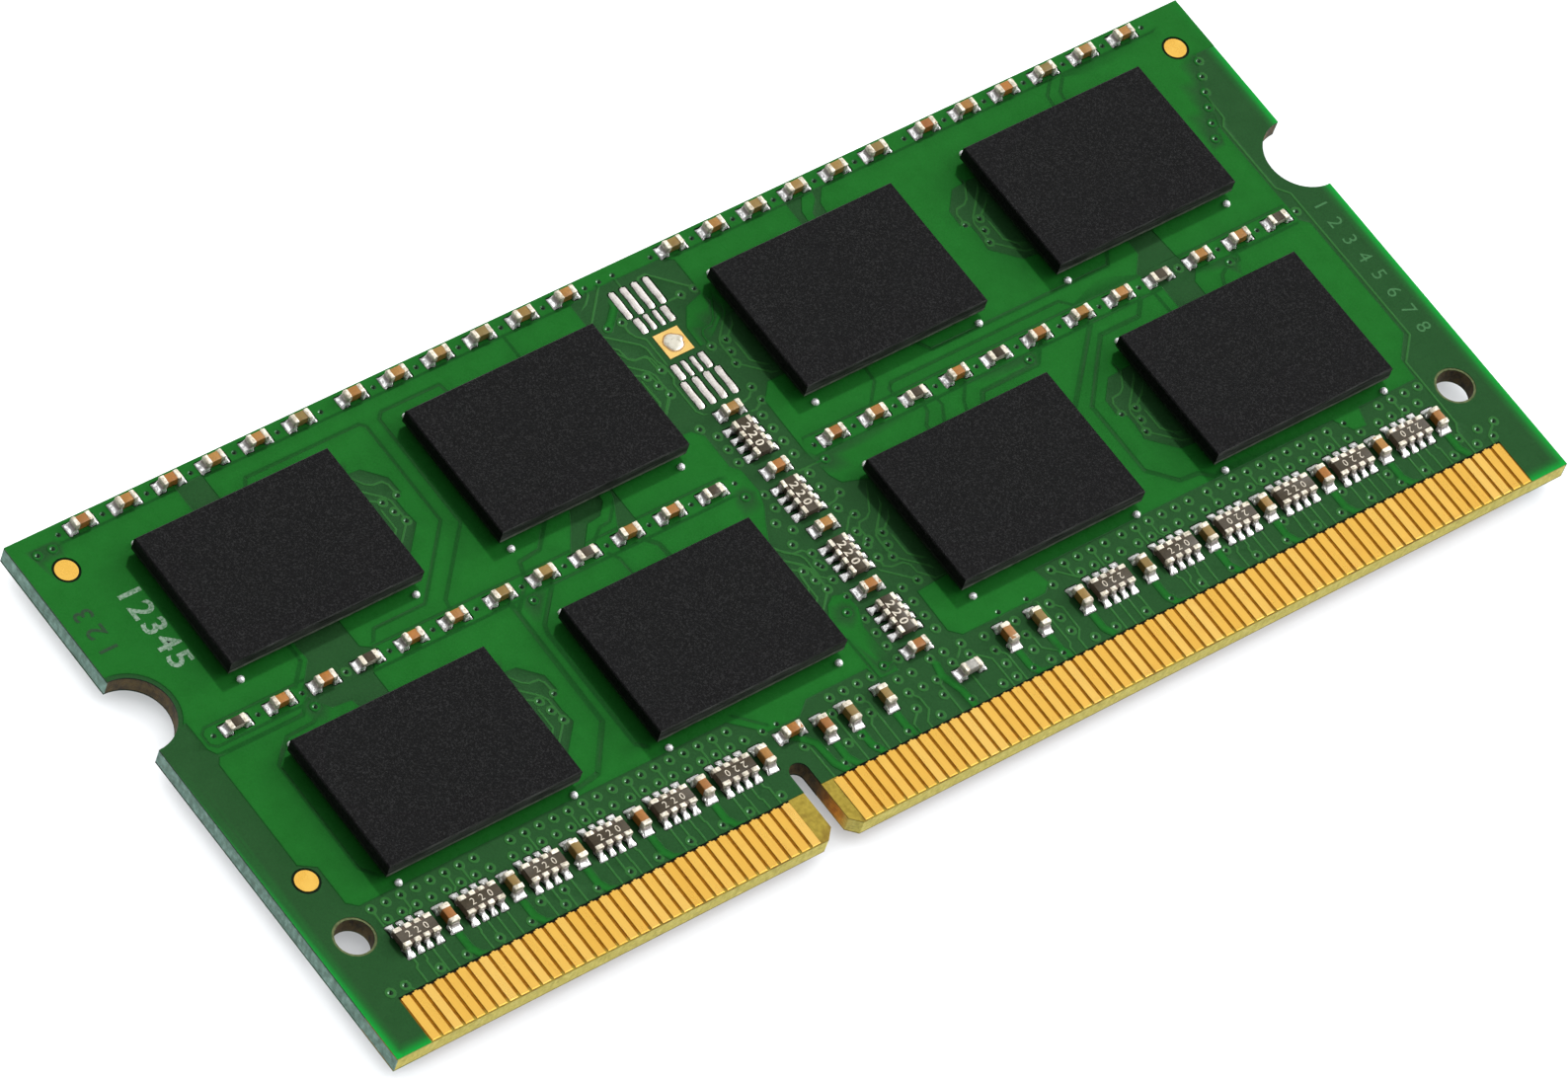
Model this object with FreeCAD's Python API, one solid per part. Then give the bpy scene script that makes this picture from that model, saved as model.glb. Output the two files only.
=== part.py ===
import FreeCAD, Part
import os

# A 204-contact notebook memory module: a thin printed board with memory packages, chip
# capacitors, resistors and resistor networks soldered to both faces.
#
# Frame: millimetres. X runs along the board's length, with 0 at the middle. Y runs from the
# contact edge (-Y) to the far edge, with 0 at the middle. Z is up, with 0 at the outer faces of
# the back packages, which the module rests on.

# ---- driving dimensions -------------------------------------------------------------------

BOARD_LENGTH = 67.6
BOARD_HEIGHT = 30.0
BOARD_THICKNESS = 1.0
OUTER_LAYER = 0.035          # solder mask, contacts and lands share this outermost layer
PREPREG = 0.065              # bonding sheet between the outer layer and the core
PLANE_THICKNESS = 0.035      # inner copper planes, sunk into the core's faces
PLANE_PULLBACK = 0.5         # the planes stop this far inside every edge of the board

NOTCH_RADIUS = 2.0           # half-round latch notches in the short edges
NOTCH_Y = 20.0               # measured from the contact edge, as are all the *_Y values here
HOLE_RADIUS = 0.9
HOLE_X = 31.8
HOLE_Y = 6.0
KEY_X = -9.0
KEY_WIDTH = 1.0
KEY_DEPTH = 4.0
KEY_LEAD_IN = 0.5            # 45 degree lead-in at the mouth of the key slot

CONTACT_PITCH = 0.6
CONTACT_WIDTH = 0.45
CONTACT_LENGTH = 2.4
CONTACT_SETBACK = 0.05       # bare board between the contacts and the edge
CONTACT_CLIP = 0.08          # clipped corners at the inner end of each contact
SHORT_GROUP_FIRST_X = -31.65
SHORT_GROUP_COUNT = 36
LONG_GROUP_FIRST_X = -7.65
LONG_GROUP_COUNT = 66
MASK_GAP = 0.06              # bare ring between the solder mask and each land

PACKAGE_LENGTH = 10.6        # memory package, along X
PACKAGE_WIDTH = 7.5
PACKAGE_XS = (-23.65, -8.7, 8.7, 23.65)
PACKAGE_YS = (23.45, 11.45)
BALL_STANDOFF = 0.30
SUBSTRATE_THICKNESS = 0.18
MOULD_THICKNESS = 0.60
MOULD_CHAMFER = 0.05
DIE_LENGTH = 8.2
DIE_WIDTH = 5.4
DIE_THICKNESS = 0.25
BALL_RADIUS = 0.22
BALL_PITCH = 0.8
BALL_COLUMNS = 13            # along X
BALL_ROW_YS = (-3.2, -2.4, -1.6, 1.6, 2.4, 3.2)
CORNER_DOT_X = 4.82
CORNER_DOT_YS = (-4.12, 4.0)
CORNER_DOT_RADIUS = 0.19

CHIP_LENGTH = 1.0            # 0402 chip capacitors and resistors
CHIP_WIDTH = 0.5
CAPACITOR_HEIGHT = 0.5
RESISTOR_HEIGHT = 0.35
TERMINAL_LENGTH = 0.26
TERMINAL_PLATING = 0.02
OVERCOAT_THICKNESS = 0.03
SOLDER_GAP = 0.03            # solder film between the board and a part
LAND_OUTER = 0.8             # land ends, from the middle of a chip
LAND_INNER = 0.28
LAND_WIDTH = 0.62
FILLET_TOP = 0.30            # how far the solder climbs a terminal

NETWORK_LENGTH = 2.0         # four resistors in one body
NETWORK_WIDTH = 1.0
NETWORK_HEIGHT = 0.40
NETWORK_TERMINALS = ((-0.8, 0.4), (-0.25, 0.32), (0.25, 0.32), (0.8, 0.4))
NETWORK_TERMINAL_DEPTH = 0.22
NETWORK_CASTELLATION = 0.08  # depth of the recesses between neighbouring terminals
NETWORK_LAND_OUTER = 0.88
NETWORK_OVERCOAT_WIDTH = 0.52

ROW_COUNT = 12               # chips on each side of the middle, in the top and middle rows
ROW_PITCH = 2.4
ROW_STEP_AFTER = 5           # past this one the rest of a row stands a step further out
TOP_ROW_Y = 29.45
TOP_ROW_START = 3.1
TOP_ROW_STEP = 0.55
MIDDLE_ROW_Y = 17.45
MIDDLE_ROW_START = 3.5
MIDDLE_ROW_STEP = 0.15
CONNECTOR_ROW_Y = 4.82

FIDUCIAL_RADIUS = 0.55
FIDUCIAL_PLACES = ((-32.0, 27.73), (32.0, 27.73), (-32.0, 9.35))

SENSOR_Y = 25.1              # middle of the empty sensor footprint on the front
SENSOR_PAD_SIZE = 1.4
LAND_TIN = 0.02              # how far the tin stands above the mask
LEADED_XS = (-0.975, -0.325, 0.325, 0.975)
LEADED_HALF = 0.2
LEADED_INNER = 2.0           # land ends, from the middle of the footprint
LEADED_OUTER = 3.6
LEADLESS_LANDS = ((-0.8, 0.2), (-0.28, 0.15), (0.24, 0.15), (0.76, 0.2))     # x and half width
LEADLESS_INNER = 1.0
LEADLESS_OUTER = 1.9
DOME_SPHERE_RADIUS = 1.0     # the solder left on the thermal pad is the top of this sphere
DOME_HEIGHT = 0.12

# The back carries the same rows, with the serial memory where the front has an empty footprint.
EEPROM_LENGTH = 4.4          # along Y, between the rows of leads
EEPROM_WIDTH = 3.0
EEPROM_THICKNESS = 0.85
EEPROM_STANDOFF = 0.1
EEPROM_CHAMFER = 0.08
EEPROM_LEAD_XS = LEADED_XS
EEPROM_LEAD_WIDTH = 0.22
EEPROM_LEAD_THICKNESS = 0.12
EEPROM_LEAD_ROOT = 0.4       # how far a lead reaches into the body
EEPROM_SPAN = 6.4
EEPROM_FOOT = 0.6
EEPROM_FILLET_LENGTH = 0.4   # solder beyond the lead's tip
EEPROM_FILLET_TOP = 0.12
EEPROM_FILLET_MARGIN = 0.08  # solder to each side of a lead

# ---- positions worked out from the dimensions ---------------------------------------------

PACKAGE_HEIGHT = BALL_STANDOFF + SUBSTRATE_THICKNESS + MOULD_THICKNESS
BOARD_BACK = PACKAGE_HEIGHT
BOARD_FRONT = BOARD_BACK + BOARD_THICKNESS



def row_xs(start, step):
    """X of every chip in a row that runs outwards on both sides of the middle."""
    outwards = [start + ROW_PITCH * i + (step if i > ROW_STEP_AFTER else 0.0)
                for i in range(ROW_COUNT)]
    return [side * x for side in (-1, 1) for x in outwards]


TOP_ROW_XS = row_xs(TOP_ROW_START, TOP_ROW_STEP)
MIDDLE_ROW_XS = row_xs(MIDDLE_ROW_START, MIDDLE_ROW_STEP)
MIDDLE_ROW_RESISTORS = (MIDDLE_ROW_XS[0], MIDDLE_ROW_XS[3], MIDDLE_ROW_XS[8], MIDDLE_ROW_XS[11],
                        MIDDLE_ROW_XS[14], MIDDLE_ROW_XS[16], MIDDLE_ROW_XS[20], MIDDLE_ROW_XS[23])
CONNECTOR_NETWORK_XS = (-29.38, -25.88, -22.38, -18.85, -15.25, -11.75,
                        10.0, 13.9, 17.42, 20.9, 24.4, 27.93)
CONNECTOR_CAPACITOR_XS = (-27.63, -24.12, -20.6, -17.05, -13.5, -10.05, -6.6, -5.18, -3.17,
                          3.93, 5.75, 8.25, 11.97, 15.67, 19.17, 22.67, 26.15, 29.65)
KEY_CAPACITOR = (-8.15, 5.35)
BEAD = (1.25, 4.2)
CENTRE_CAPACITORS = ((0.0, 20.75), (0.0, 17.2), (0.0, 13.6), (-0.2, 9.95), (-0.2, 6.3))
CENTRE_NETWORKS = ((-0.05, 19.05), (-0.05, 15.4), (-0.05, 11.75), (-0.05, 8.1))

FRONT = "front"
BACK = "back"
BEYOND = 1.0                 # how far a cutter reaches past the solid it cuts
TOUCHING = 0.001             # heights closer than this count as the same


# ---- placing ------------------------------------------------------------------------------

def vector(x, y, z):
    return FreeCAD.Vector(x, y, z)


def box(x0, x1, y0, y1, z0, z1):
    return Part.makeBox(x1 - x0, y1 - y0, z1 - z0, vector(x0, y0, z0))


def y_from_edge(distance):
    """Y in the frame, for a distance from the contact edge."""
    return distance - BOARD_HEIGHT / 2


def on_face(shape, face):
    """A shape modelled above z = 0, the board's surface, moved to the front or back face."""
    if face == FRONT:
        return shape.translated(vector(0, 0, BOARD_FRONT))
    flipped = shape.mirror(vector(0, 0, 0), vector(0, 0, 1))
    return flipped.translated(vector(0, 0, BOARD_BACK))


def at(shapes, x, distance, quarter_turn=False):
    """Copies of a part's shapes, placed at x and a distance from the contact edge."""
    placed = []
    for shape in shapes:
        copy = shape.copy()
        if quarter_turn:
            copy.rotate(vector(0, 0, 0), vector(0, 0, 1), 90)
        copy.translate(vector(x, y_from_edge(distance), 0))
        placed.append(copy)
    return placed


def write_node(name, solids):
    """One STEP file, holding one solid or a group of separate solids."""
    shape = solids[0] if len(solids) == 1 else Part.makeCompound(solids)
    shape.exportStep(os.path.join("parts", name + ".step"))
    print("%-36s %4d solids  %9.4f mm3" % (name, len(solids), sum(s.Volume for s in solids)))


# ---- the board ----------------------------------------------------------------------------

def key_slot_cutter(z0, z1, pullback):
    """The round-ended key slot with its lead-in, grown sideways by the pullback."""
    half = KEY_WIDTH / 2 + pullback
    edge = y_from_edge(0)
    round_y = edge + KEY_DEPTH - KEY_WIDTH / 2
    slot = box(KEY_X - half, KEY_X + half, edge - BEYOND, round_y, z0, z1)
    end = Part.makeCylinder(half, z1 - z0, vector(KEY_X, round_y, z0))
    wide = half + KEY_LEAD_IN
    corners = [(KEY_X - wide, edge), (KEY_X, edge + wide), (KEY_X + wide, edge),
               (KEY_X + wide, edge - BEYOND), (KEY_X - wide, edge - BEYOND), (KEY_X - wide, edge)]
    mouth = Part.makePolygon([vector(x, y, z0) for x, y in corners])
    lead_in = Part.Face(mouth).extrude(vector(0, 0, z1 - z0))
    return slot.fuse([end, lead_in]).removeSplitter()


def outline_slab(z0, z1, pullback=0.0):
    """A slab with the module's outline, drawn in from every edge by the pullback."""
    half_length = BOARD_LENGTH / 2
    half_height = BOARD_HEIGHT / 2
    slab = box(-half_length + pullback, half_length - pullback,
               -half_height + pullback, half_height - pullback, z0, z1)
    cutters = [key_slot_cutter(z0, z1, pullback)]
    for side in (-1, 1):
        notch = vector(side * half_length, y_from_edge(NOTCH_Y), z0)
        hole = vector(side * HOLE_X, y_from_edge(HOLE_Y), z0)
        cutters.append(Part.makeCylinder(NOTCH_RADIUS + pullback, z1 - z0, notch))
        cutters.append(Part.makeCylinder(HOLE_RADIUS + pullback, z1 - z0, hole))
    return slab.cut(cutters)


def inner_planes():
    """The two buried copper planes, flush with the core's faces."""
    skin = OUTER_LAYER + PREPREG
    back = outline_slab(BOARD_BACK + skin, BOARD_BACK + skin + PLANE_THICKNESS, PLANE_PULLBACK)
    front = outline_slab(BOARD_FRONT - skin - PLANE_THICKNESS, BOARD_FRONT - skin, PLANE_PULLBACK)
    return front, back


def laminate_core(planes):
    skin = OUTER_LAYER + PREPREG
    return outline_slab(BOARD_BACK + skin, BOARD_FRONT - skin).cut(list(planes))


def contact_bar(x):
    """One contact, flat at the edge and with clipped corners at its inner end."""
    half = CONTACT_WIDTH / 2
    low = y_from_edge(CONTACT_SETBACK)
    high = low + CONTACT_LENGTH
    corners = [(x - half, low), (x + half, low), (x + half, high - CONTACT_CLIP),
               (x + half - CONTACT_CLIP, high), (x - half + CONTACT_CLIP, high),
               (x - half, high - CONTACT_CLIP), (x - half, low)]
    wire = Part.makePolygon([vector(a, b, -OUTER_LAYER) for a, b in corners])
    return Part.Face(wire).extrude(vector(0, 0, OUTER_LAYER))


def contact_group(first_x, count, face):
    bars = []
    for i in range(count):
        bars.append(on_face(contact_bar(first_x + CONTACT_PITCH * i), face))
    return bars


def mask_windows(lands):
    """The openings in the solder mask: the contact strips, fiducials and component lands."""
    low = y_from_edge(-BEYOND)
    high = y_from_edge(CONTACT_SETBACK + CONTACT_LENGTH)
    margin = CONTACT_PITCH / 2
    short_end = SHORT_GROUP_FIRST_X - margin
    long_end = LONG_GROUP_FIRST_X + CONTACT_PITCH * (LONG_GROUP_COUNT - 1) + margin
    windows = [box(short_end, long_end, low, high, -OUTER_LAYER, 0)]
    for x, distance in FIDUCIAL_PLACES:
        windows.append(Part.makeCylinder(FIDUCIAL_RADIUS + 2 * MASK_GAP, OUTER_LAYER,
                                         vector(x, y_from_edge(distance), -OUTER_LAYER)))
    for land in lands:
        bounds = land.BoundBox
        windows.append(box(bounds.XMin - MASK_GAP, bounds.XMax + MASK_GAP,
                           bounds.YMin - MASK_GAP, bounds.YMax + MASK_GAP, -OUTER_LAYER, 0))
    return windows


def solder_mask(lands, face):
    """The mask over one face, with a window for every land that carries solder or gold."""
    sheet = outline_slab(-OUTER_LAYER, 0)
    return on_face(sheet.cut(mask_windows(lands)), face)


def fiducials(face):
    discs = []
    for x, distance in FIDUCIAL_PLACES:
        disc = Part.makeCylinder(FIDUCIAL_RADIUS, OUTER_LAYER,
                                 vector(x, y_from_edge(distance), -OUTER_LAYER))
        discs.append(on_face(disc, face))
    return discs


# ---- memory packages ----------------------------------------------------------------------

def die():
    low = BALL_STANDOFF + SUBSTRATE_THICKNESS
    return box(-DIE_LENGTH / 2, DIE_LENGTH / 2, -DIE_WIDTH / 2, DIE_WIDTH / 2,
               low, low + DIE_THICKNESS)


def mould_cap():
    """The moulded cap, chamfered round its top, with the die's pocket in its underside."""
    low = BALL_STANDOFF + SUBSTRATE_THICKNESS
    block = box(-PACKAGE_LENGTH / 2, PACKAGE_LENGTH / 2, -PACKAGE_WIDTH / 2, PACKAGE_WIDTH / 2,
                low, PACKAGE_HEIGHT)
    rim = [edge for edge in block.Edges if edge.BoundBox.ZMin > PACKAGE_HEIGHT - TOUCHING]
    return block.makeChamfer(MOULD_CHAMFER, rim).cut(die())


def package_substrate():
    return box(-PACKAGE_LENGTH / 2, PACKAGE_LENGTH / 2, -PACKAGE_WIDTH / 2, PACKAGE_WIDTH / 2,
               BALL_STANDOFF, BALL_STANDOFF + SUBSTRATE_THICKNESS)


def solder_ball(x, y):
    """A ball squashed between the board and the package, with flat top and bottom."""
    middle = BALL_STANDOFF / 2
    sphere = Part.makeSphere(BALL_RADIUS, vector(x, y, middle))
    between = box(x - BALL_PITCH, x + BALL_PITCH, y - BALL_PITCH, y + BALL_PITCH, 0, BALL_STANDOFF)
    return sphere.common(between)


def package_balls():
    balls = []
    for y in BALL_ROW_YS:
        for column in range(BALL_COLUMNS):
            balls.append(solder_ball(BALL_PITCH * (column - (BALL_COLUMNS - 1) / 2), y))
    return balls


def corner_dots():
    """Spare solder dots just outside the package's long edges, near its corners."""
    dots = []
    for sx in (-1, 1):
        for y in CORNER_DOT_YS:
            ball = Part.makeSphere(CORNER_DOT_RADIUS, vector(sx * CORNER_DOT_X, y, 0))
            upper = box(-PACKAGE_LENGTH, PACKAGE_LENGTH, -PACKAGE_LENGTH, PACKAGE_LENGTH, 0, BEYOND)
            dots.append(ball.common(upper))
    return dots


# ---- chip components ----------------------------------------------------------------------

def chip_core(height):
    """The ceramic block inside the two end terminals."""
    inset = TERMINAL_PLATING
    return box(-CHIP_LENGTH / 2 + inset, CHIP_LENGTH / 2 - inset,
               -CHIP_WIDTH / 2 + inset, CHIP_WIDTH / 2 - inset,
               SOLDER_GAP + inset, SOLDER_GAP + height - inset)


def chip_terminals(height):
    """Two five-sided caps that wrap the ends of the ceramic block."""
    core = chip_core(height)
    half_length = CHIP_LENGTH / 2
    half_width = CHIP_WIDTH / 2
    low = SOLDER_GAP
    high = SOLDER_GAP + height
    left = box(-half_length, -half_length + TERMINAL_LENGTH, -half_width, half_width, low, high)
    right = box(half_length - TERMINAL_LENGTH, half_length, -half_width, half_width, low, high)
    return [left.cut(core), right.cut(core)]


def chip_overcoat():
    """The dark glass coat over the resistor film, between the terminals."""
    half = CHIP_LENGTH / 2 - TERMINAL_LENGTH
    low = SOLDER_GAP + RESISTOR_HEIGHT - TERMINAL_PLATING
    width = CHIP_WIDTH / 2 - TERMINAL_PLATING
    return box(-half, half, -width, width, low, low + OVERCOAT_THICKNESS)


def solder_wedge(inner, face_at, outer, top, width):
    """A solder joint along +X: a film under the part and a fillet up its end face."""
    low = -OUTER_LAYER
    corners = [(inner, low), (outer, low), (outer, SOLDER_GAP), (face_at, top),
               (face_at, SOLDER_GAP), (inner, SOLDER_GAP), (inner, low)]
    wire = Part.makePolygon([vector(x, -width / 2, z) for x, z in corners])
    return Part.Face(wire).extrude(vector(0, width, 0))


def chip_solder():
    right = solder_wedge(LAND_INNER, CHIP_LENGTH / 2, LAND_OUTER, FILLET_TOP, LAND_WIDTH)
    left = right.mirror(vector(0, 0, 0), vector(1, 0, 0))
    return [left, right]


# ---- resistor networks --------------------------------------------------------------------

def network_substrate():
    """The ceramic body: its long sides are recessed between the terminals."""
    half_width = NETWORK_WIDTH / 2
    body = box(-NETWORK_LENGTH / 2, NETWORK_LENGTH / 2, -half_width, half_width,
               SOLDER_GAP, SOLDER_GAP + NETWORK_HEIGHT - OVERCOAT_THICKNESS)
    cutters = []
    for left, right in zip(NETWORK_TERMINALS, NETWORK_TERMINALS[1:]):
        gap_low = left[0] + left[1] / 2
        gap_high = right[0] - right[1] / 2
        for side in (-1, 1):
            near = side * (half_width - NETWORK_CASTELLATION)
            far = side * (half_width + BEYOND)
            cutters.append(box(gap_low, gap_high, min(near, far), max(near, far), 0, BEYOND))
    return body.cut(cutters + network_terminals())


def network_terminals():
    """Eight plated terminals, each an angle over the body's top edge and down its side."""
    half_width = NETWORK_WIDTH / 2
    low = SOLDER_GAP
    high = SOLDER_GAP + NETWORK_HEIGHT
    plating = TERMINAL_PLATING + OVERCOAT_THICKNESS
    terminals = []
    for x, width in NETWORK_TERMINALS:
        block = box(x - width / 2, x + width / 2, half_width - NETWORK_TERMINAL_DEPTH, half_width,
                    low, high)
        inner = box(x - width, x + width, -half_width, half_width - plating,
                    low + plating, high - plating)
        angle = block.cut(inner)
        terminals.append(angle)
        terminals.append(angle.mirror(vector(0, 0, 0), vector(0, 1, 0)))
    return terminals


def network_overcoat():
    half_length = NETWORK_LENGTH / 2
    half_width = NETWORK_OVERCOAT_WIDTH / 2
    low = SOLDER_GAP + NETWORK_HEIGHT - OVERCOAT_THICKNESS
    return box(-half_length, half_length, -half_width, half_width, low, low + OVERCOAT_THICKNESS)


def network_solder():
    joints = []
    half_width = NETWORK_WIDTH / 2
    for x, width in NETWORK_TERMINALS:
        joint = solder_wedge(half_width - NETWORK_TERMINAL_DEPTH, half_width, NETWORK_LAND_OUTER,
                             FILLET_TOP, width)
        joint.rotate(vector(0, 0, 0), vector(0, 0, 1), 90)
        joint.translate(vector(x, 0, 0))
        joints.append(joint)
        joints.append(joint.mirror(vector(0, 0, 0), vector(0, 1, 0)))
    return joints


# ---- the empty sensor footprint on the front ----------------------------------------------

def land(x, half, y0, y1):
    return box(x - half, x + half, min(y0, y1), max(y0, y1), -OUTER_LAYER, LAND_TIN)


def sensor_pads():
    """Tinned lands for a leaded package and, inside them, for a leadless one."""
    pads = []
    for side in (-1, 1):
        for x in LEADED_XS:
            pads.append(land(x, LEADED_HALF, side * LEADED_INNER, side * LEADED_OUTER))
        for x, half in LEADLESS_LANDS:
            pads.append(land(x, half, side * LEADLESS_INNER, side * LEADLESS_OUTER))
    return at(pads, 0, SENSOR_Y)


def sensor_thermal_pad():
    half = SENSOR_PAD_SIZE / 2
    pad = box(-half, half, -half, half, -OUTER_LAYER, 0)
    return at([pad], 0, SENSOR_Y)[0]


def thermal_pad_solder():
    """A low solder dome in the middle of the thermal pad."""
    radius = DOME_SPHERE_RADIUS
    sphere = Part.makeSphere(radius, vector(0, 0, DOME_HEIGHT - radius))
    dome = sphere.common(box(-radius, radius, -radius, radius, 0, radius))
    return at([dome], 0, SENSOR_Y)[0]


# ---- the serial memory on the back --------------------------------------------------------

def eeprom_body():
    half_x = EEPROM_WIDTH / 2
    half_y = EEPROM_LENGTH / 2
    low = EEPROM_STANDOFF
    high = low + EEPROM_THICKNESS
    block = box(-half_x, half_x, -half_y, half_y, low, high)
    uprights_and_rim = [edge for edge in block.Edges if edge.BoundBox.ZMax > high - TOUCHING]
    return block.makeChamfer(EEPROM_CHAMFER, uprights_and_rim).cut(eeprom_leads())


def eeprom_leads():
    """Eight gull-wing leads: a shoulder out of the body, a leg down and a foot on the land."""
    half_y = EEPROM_LENGTH / 2
    tip = EEPROM_SPAN / 2
    thick = EEPROM_LEAD_THICKNESS
    shoulder = EEPROM_STANDOFF + EEPROM_THICKNESS / 2
    knee = tip - EEPROM_FOOT
    root = half_y - EEPROM_LEAD_ROOT
    corners = [(root, shoulder), (knee, shoulder), (knee + thick, SOLDER_GAP + thick),
               (tip, SOLDER_GAP + thick), (tip, SOLDER_GAP), (knee, SOLDER_GAP),
               (knee - thick, shoulder - thick), (root, shoulder - thick), (root, shoulder)]
    leads = []
    for x in EEPROM_LEAD_XS:
        wire = Part.makePolygon([vector(x - EEPROM_LEAD_WIDTH / 2, y, z) for y, z in corners])
        lead = Part.Face(wire).extrude(vector(EEPROM_LEAD_WIDTH, 0, 0))
        leads.append(lead)
        leads.append(lead.mirror(vector(0, 0, 0), vector(0, 1, 0)))
    return leads


def eeprom_solder():
    joints = []
    tip = EEPROM_SPAN / 2
    width = EEPROM_LEAD_WIDTH + 2 * EEPROM_FILLET_MARGIN
    for x in EEPROM_LEAD_XS:
        joint = solder_wedge(tip - EEPROM_FOOT, tip, tip + EEPROM_FILLET_LENGTH,
                             EEPROM_FILLET_TOP, width)
        joint.rotate(vector(0, 0, 0), vector(0, 0, 1), 90)
        joint.translate(vector(x, 0, 0))
        joints.append(joint)
        joints.append(joint.mirror(vector(0, 0, 0), vector(0, 1, 0)))
    return joints


# ---- populating a face --------------------------------------------------------------------

def chip_places():
    """Where the chips stand: row name, x, distance from the contact edge, and a quarter turn."""
    places = {"top_row": [(x, TOP_ROW_Y, False) for x in TOP_ROW_XS]}
    places["middle_row"] = [(x, MIDDLE_ROW_Y, False) for x in MIDDLE_ROW_XS
                            if x not in MIDDLE_ROW_RESISTORS]
    places["centre_column"] = [(x, y, False) for x, y in CENTRE_CAPACITORS]
    places["connector_row"] = [(x, CONNECTOR_ROW_Y, True) for x in CONNECTOR_CAPACITOR_XS]
    places["connector_row"].append(KEY_CAPACITOR + (False,))
    return places


def resistor_places():
    return [(x, MIDDLE_ROW_Y, False) for x in MIDDLE_ROW_RESISTORS]


def network_places():
    row = [(x, CONNECTOR_ROW_Y, False) for x in CONNECTOR_NETWORK_XS]
    return row + [(x, y, True) for x, y in CENTRE_NETWORKS]


def placed(shapes, places):
    """The shapes of one part, copied to every place in a list."""
    copies = []
    for x, distance, quarter_turn in places:
        copies += at(shapes, x, distance, quarter_turn)
    return copies


def facing(shapes, face):
    return [on_face(shape, face) for shape in shapes]


def face_lands(face):
    """Everything on a face that needs a window in the solder mask."""
    chips = [place for row in chip_places().values() for place in row]
    chips += resistor_places() + [BEAD + (False,)]
    lands = placed(chip_solder(), chips) + placed(network_solder(), network_places())
    if face == FRONT:
        return lands + sensor_pads() + [sensor_thermal_pad()]
    return lands + at(eeprom_solder(), 0, SENSOR_Y)


def solder_joints(face):
    chips = [place for row in chip_places().values() for place in row]
    chips += resistor_places() + [BEAD + (False,)]
    joints = placed(chip_solder(), chips) + placed(network_solder(), network_places())
    if face == FRONT:
        joints.append(thermal_pad_solder())
    else:
        joints += at(eeprom_solder(), 0, SENSOR_Y)
    return facing(joints, face)


def package_places():
    return [(x, y, False) for y in PACKAGE_YS for x in PACKAGE_XS]


def write_board():
    planes = inner_planes()
    skin = OUTER_LAYER + PREPREG
    write_node("laminate_core", [laminate_core(planes)])
    write_node("inner_ground_plane", [planes[0]])
    write_node("inner_power_plane", [planes[1]])
    write_node("prepreg_front", [outline_slab(BOARD_FRONT - skin, BOARD_FRONT - OUTER_LAYER)])
    write_node("prepreg_back", [outline_slab(BOARD_BACK + OUTER_LAYER, BOARD_BACK + skin)])
    for face in (FRONT, BACK):
        write_node("solder_mask_" + face, [solder_mask(face_lands(face), face)])
        short_group = contact_group(SHORT_GROUP_FIRST_X, SHORT_GROUP_COUNT, face)
        long_group = contact_group(LONG_GROUP_FIRST_X, LONG_GROUP_COUNT, face)
        write_node("contacts_%s_short_group" % face, short_group)
        write_node("contacts_%s_long_group" % face, long_group)
    write_node("fiducials", fiducials(FRONT) + fiducials(BACK))
    write_node("sensor_pads", facing(sensor_pads(), FRONT))
    write_node("sensor_thermal_pad", [on_face(sensor_thermal_pad(), FRONT)])


def write_packages(face):
    places = package_places()
    cap = mould_cap()
    for number, place in enumerate(places, 1):
        cap_here = facing(placed([cap], [place]), face)
        write_node("memory_%s_%d_mould_cap" % (face, number), cap_here)
    write_node("memory_%s_substrates" % face, facing(placed([package_substrate()], places), face))
    write_node("memory_%s_dies" % face, facing(placed([die()], places), face))
    write_node("memory_%s_solder_balls" % face, facing(placed(package_balls(), places), face))
    write_node("memory_%s_corner_dots" % face, facing(placed(corner_dots(), places), face))


def write_capacitors():
    body = [chip_core(CAPACITOR_HEIGHT)]
    terminals = chip_terminals(CAPACITOR_HEIGHT)
    rows = chip_places()
    everywhere = [place for row in rows.values() for place in row]
    for name, places in rows.items():
        write_node("capacitor_bodies_" + name, facing(placed(body, places), FRONT))
    write_node("capacitor_bodies_back", facing(placed(body, everywhere), BACK))
    bead = [BEAD + (False,)]
    write_node("bead_bodies", facing(placed(body, bead), FRONT) + facing(placed(body, bead), BACK))
    for face in (FRONT, BACK):
        write_node("chip_terminals_" + face, facing(placed(terminals, everywhere + bead), face))


def write_resistors():
    singles = resistor_places()
    networks = network_places()
    body = chip_core(RESISTOR_HEIGHT).cut(chip_overcoat())
    parts = {"resistor_bodies": [body], "resistor_terminals": chip_terminals(RESISTOR_HEIGHT),
             "resistor_overcoats": [chip_overcoat()]}
    for name, shapes in parts.items():
        both = facing(placed(shapes, singles), FRONT) + facing(placed(shapes, singles), BACK)
        write_node(name, both)
    for face in (FRONT, BACK):
        bodies = placed([network_substrate()], networks)
        terminals = placed(network_terminals(), networks)
        overcoats = placed([network_overcoat()], networks)
        write_node("network_bodies_" + face, facing(bodies, face))
        write_node("network_terminals_" + face, facing(terminals, face))
        write_node("network_overcoats_" + face, facing(overcoats, face))


def write_serial_memory():
    write_node("serial_memory_body", facing(at([eeprom_body()], 0, SENSOR_Y), BACK))
    write_node("serial_memory_leads", facing(at(eeprom_leads(), 0, SENSOR_Y), BACK))


def main():
    os.makedirs("parts", exist_ok=True)
    write_board()
    for face in (FRONT, BACK):
        write_packages(face)
    write_capacitors()
    write_resistors()
    write_serial_memory()
    for face in (FRONT, BACK):
        write_node("solder_joints_" + face, solder_joints(face))


main()
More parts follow.
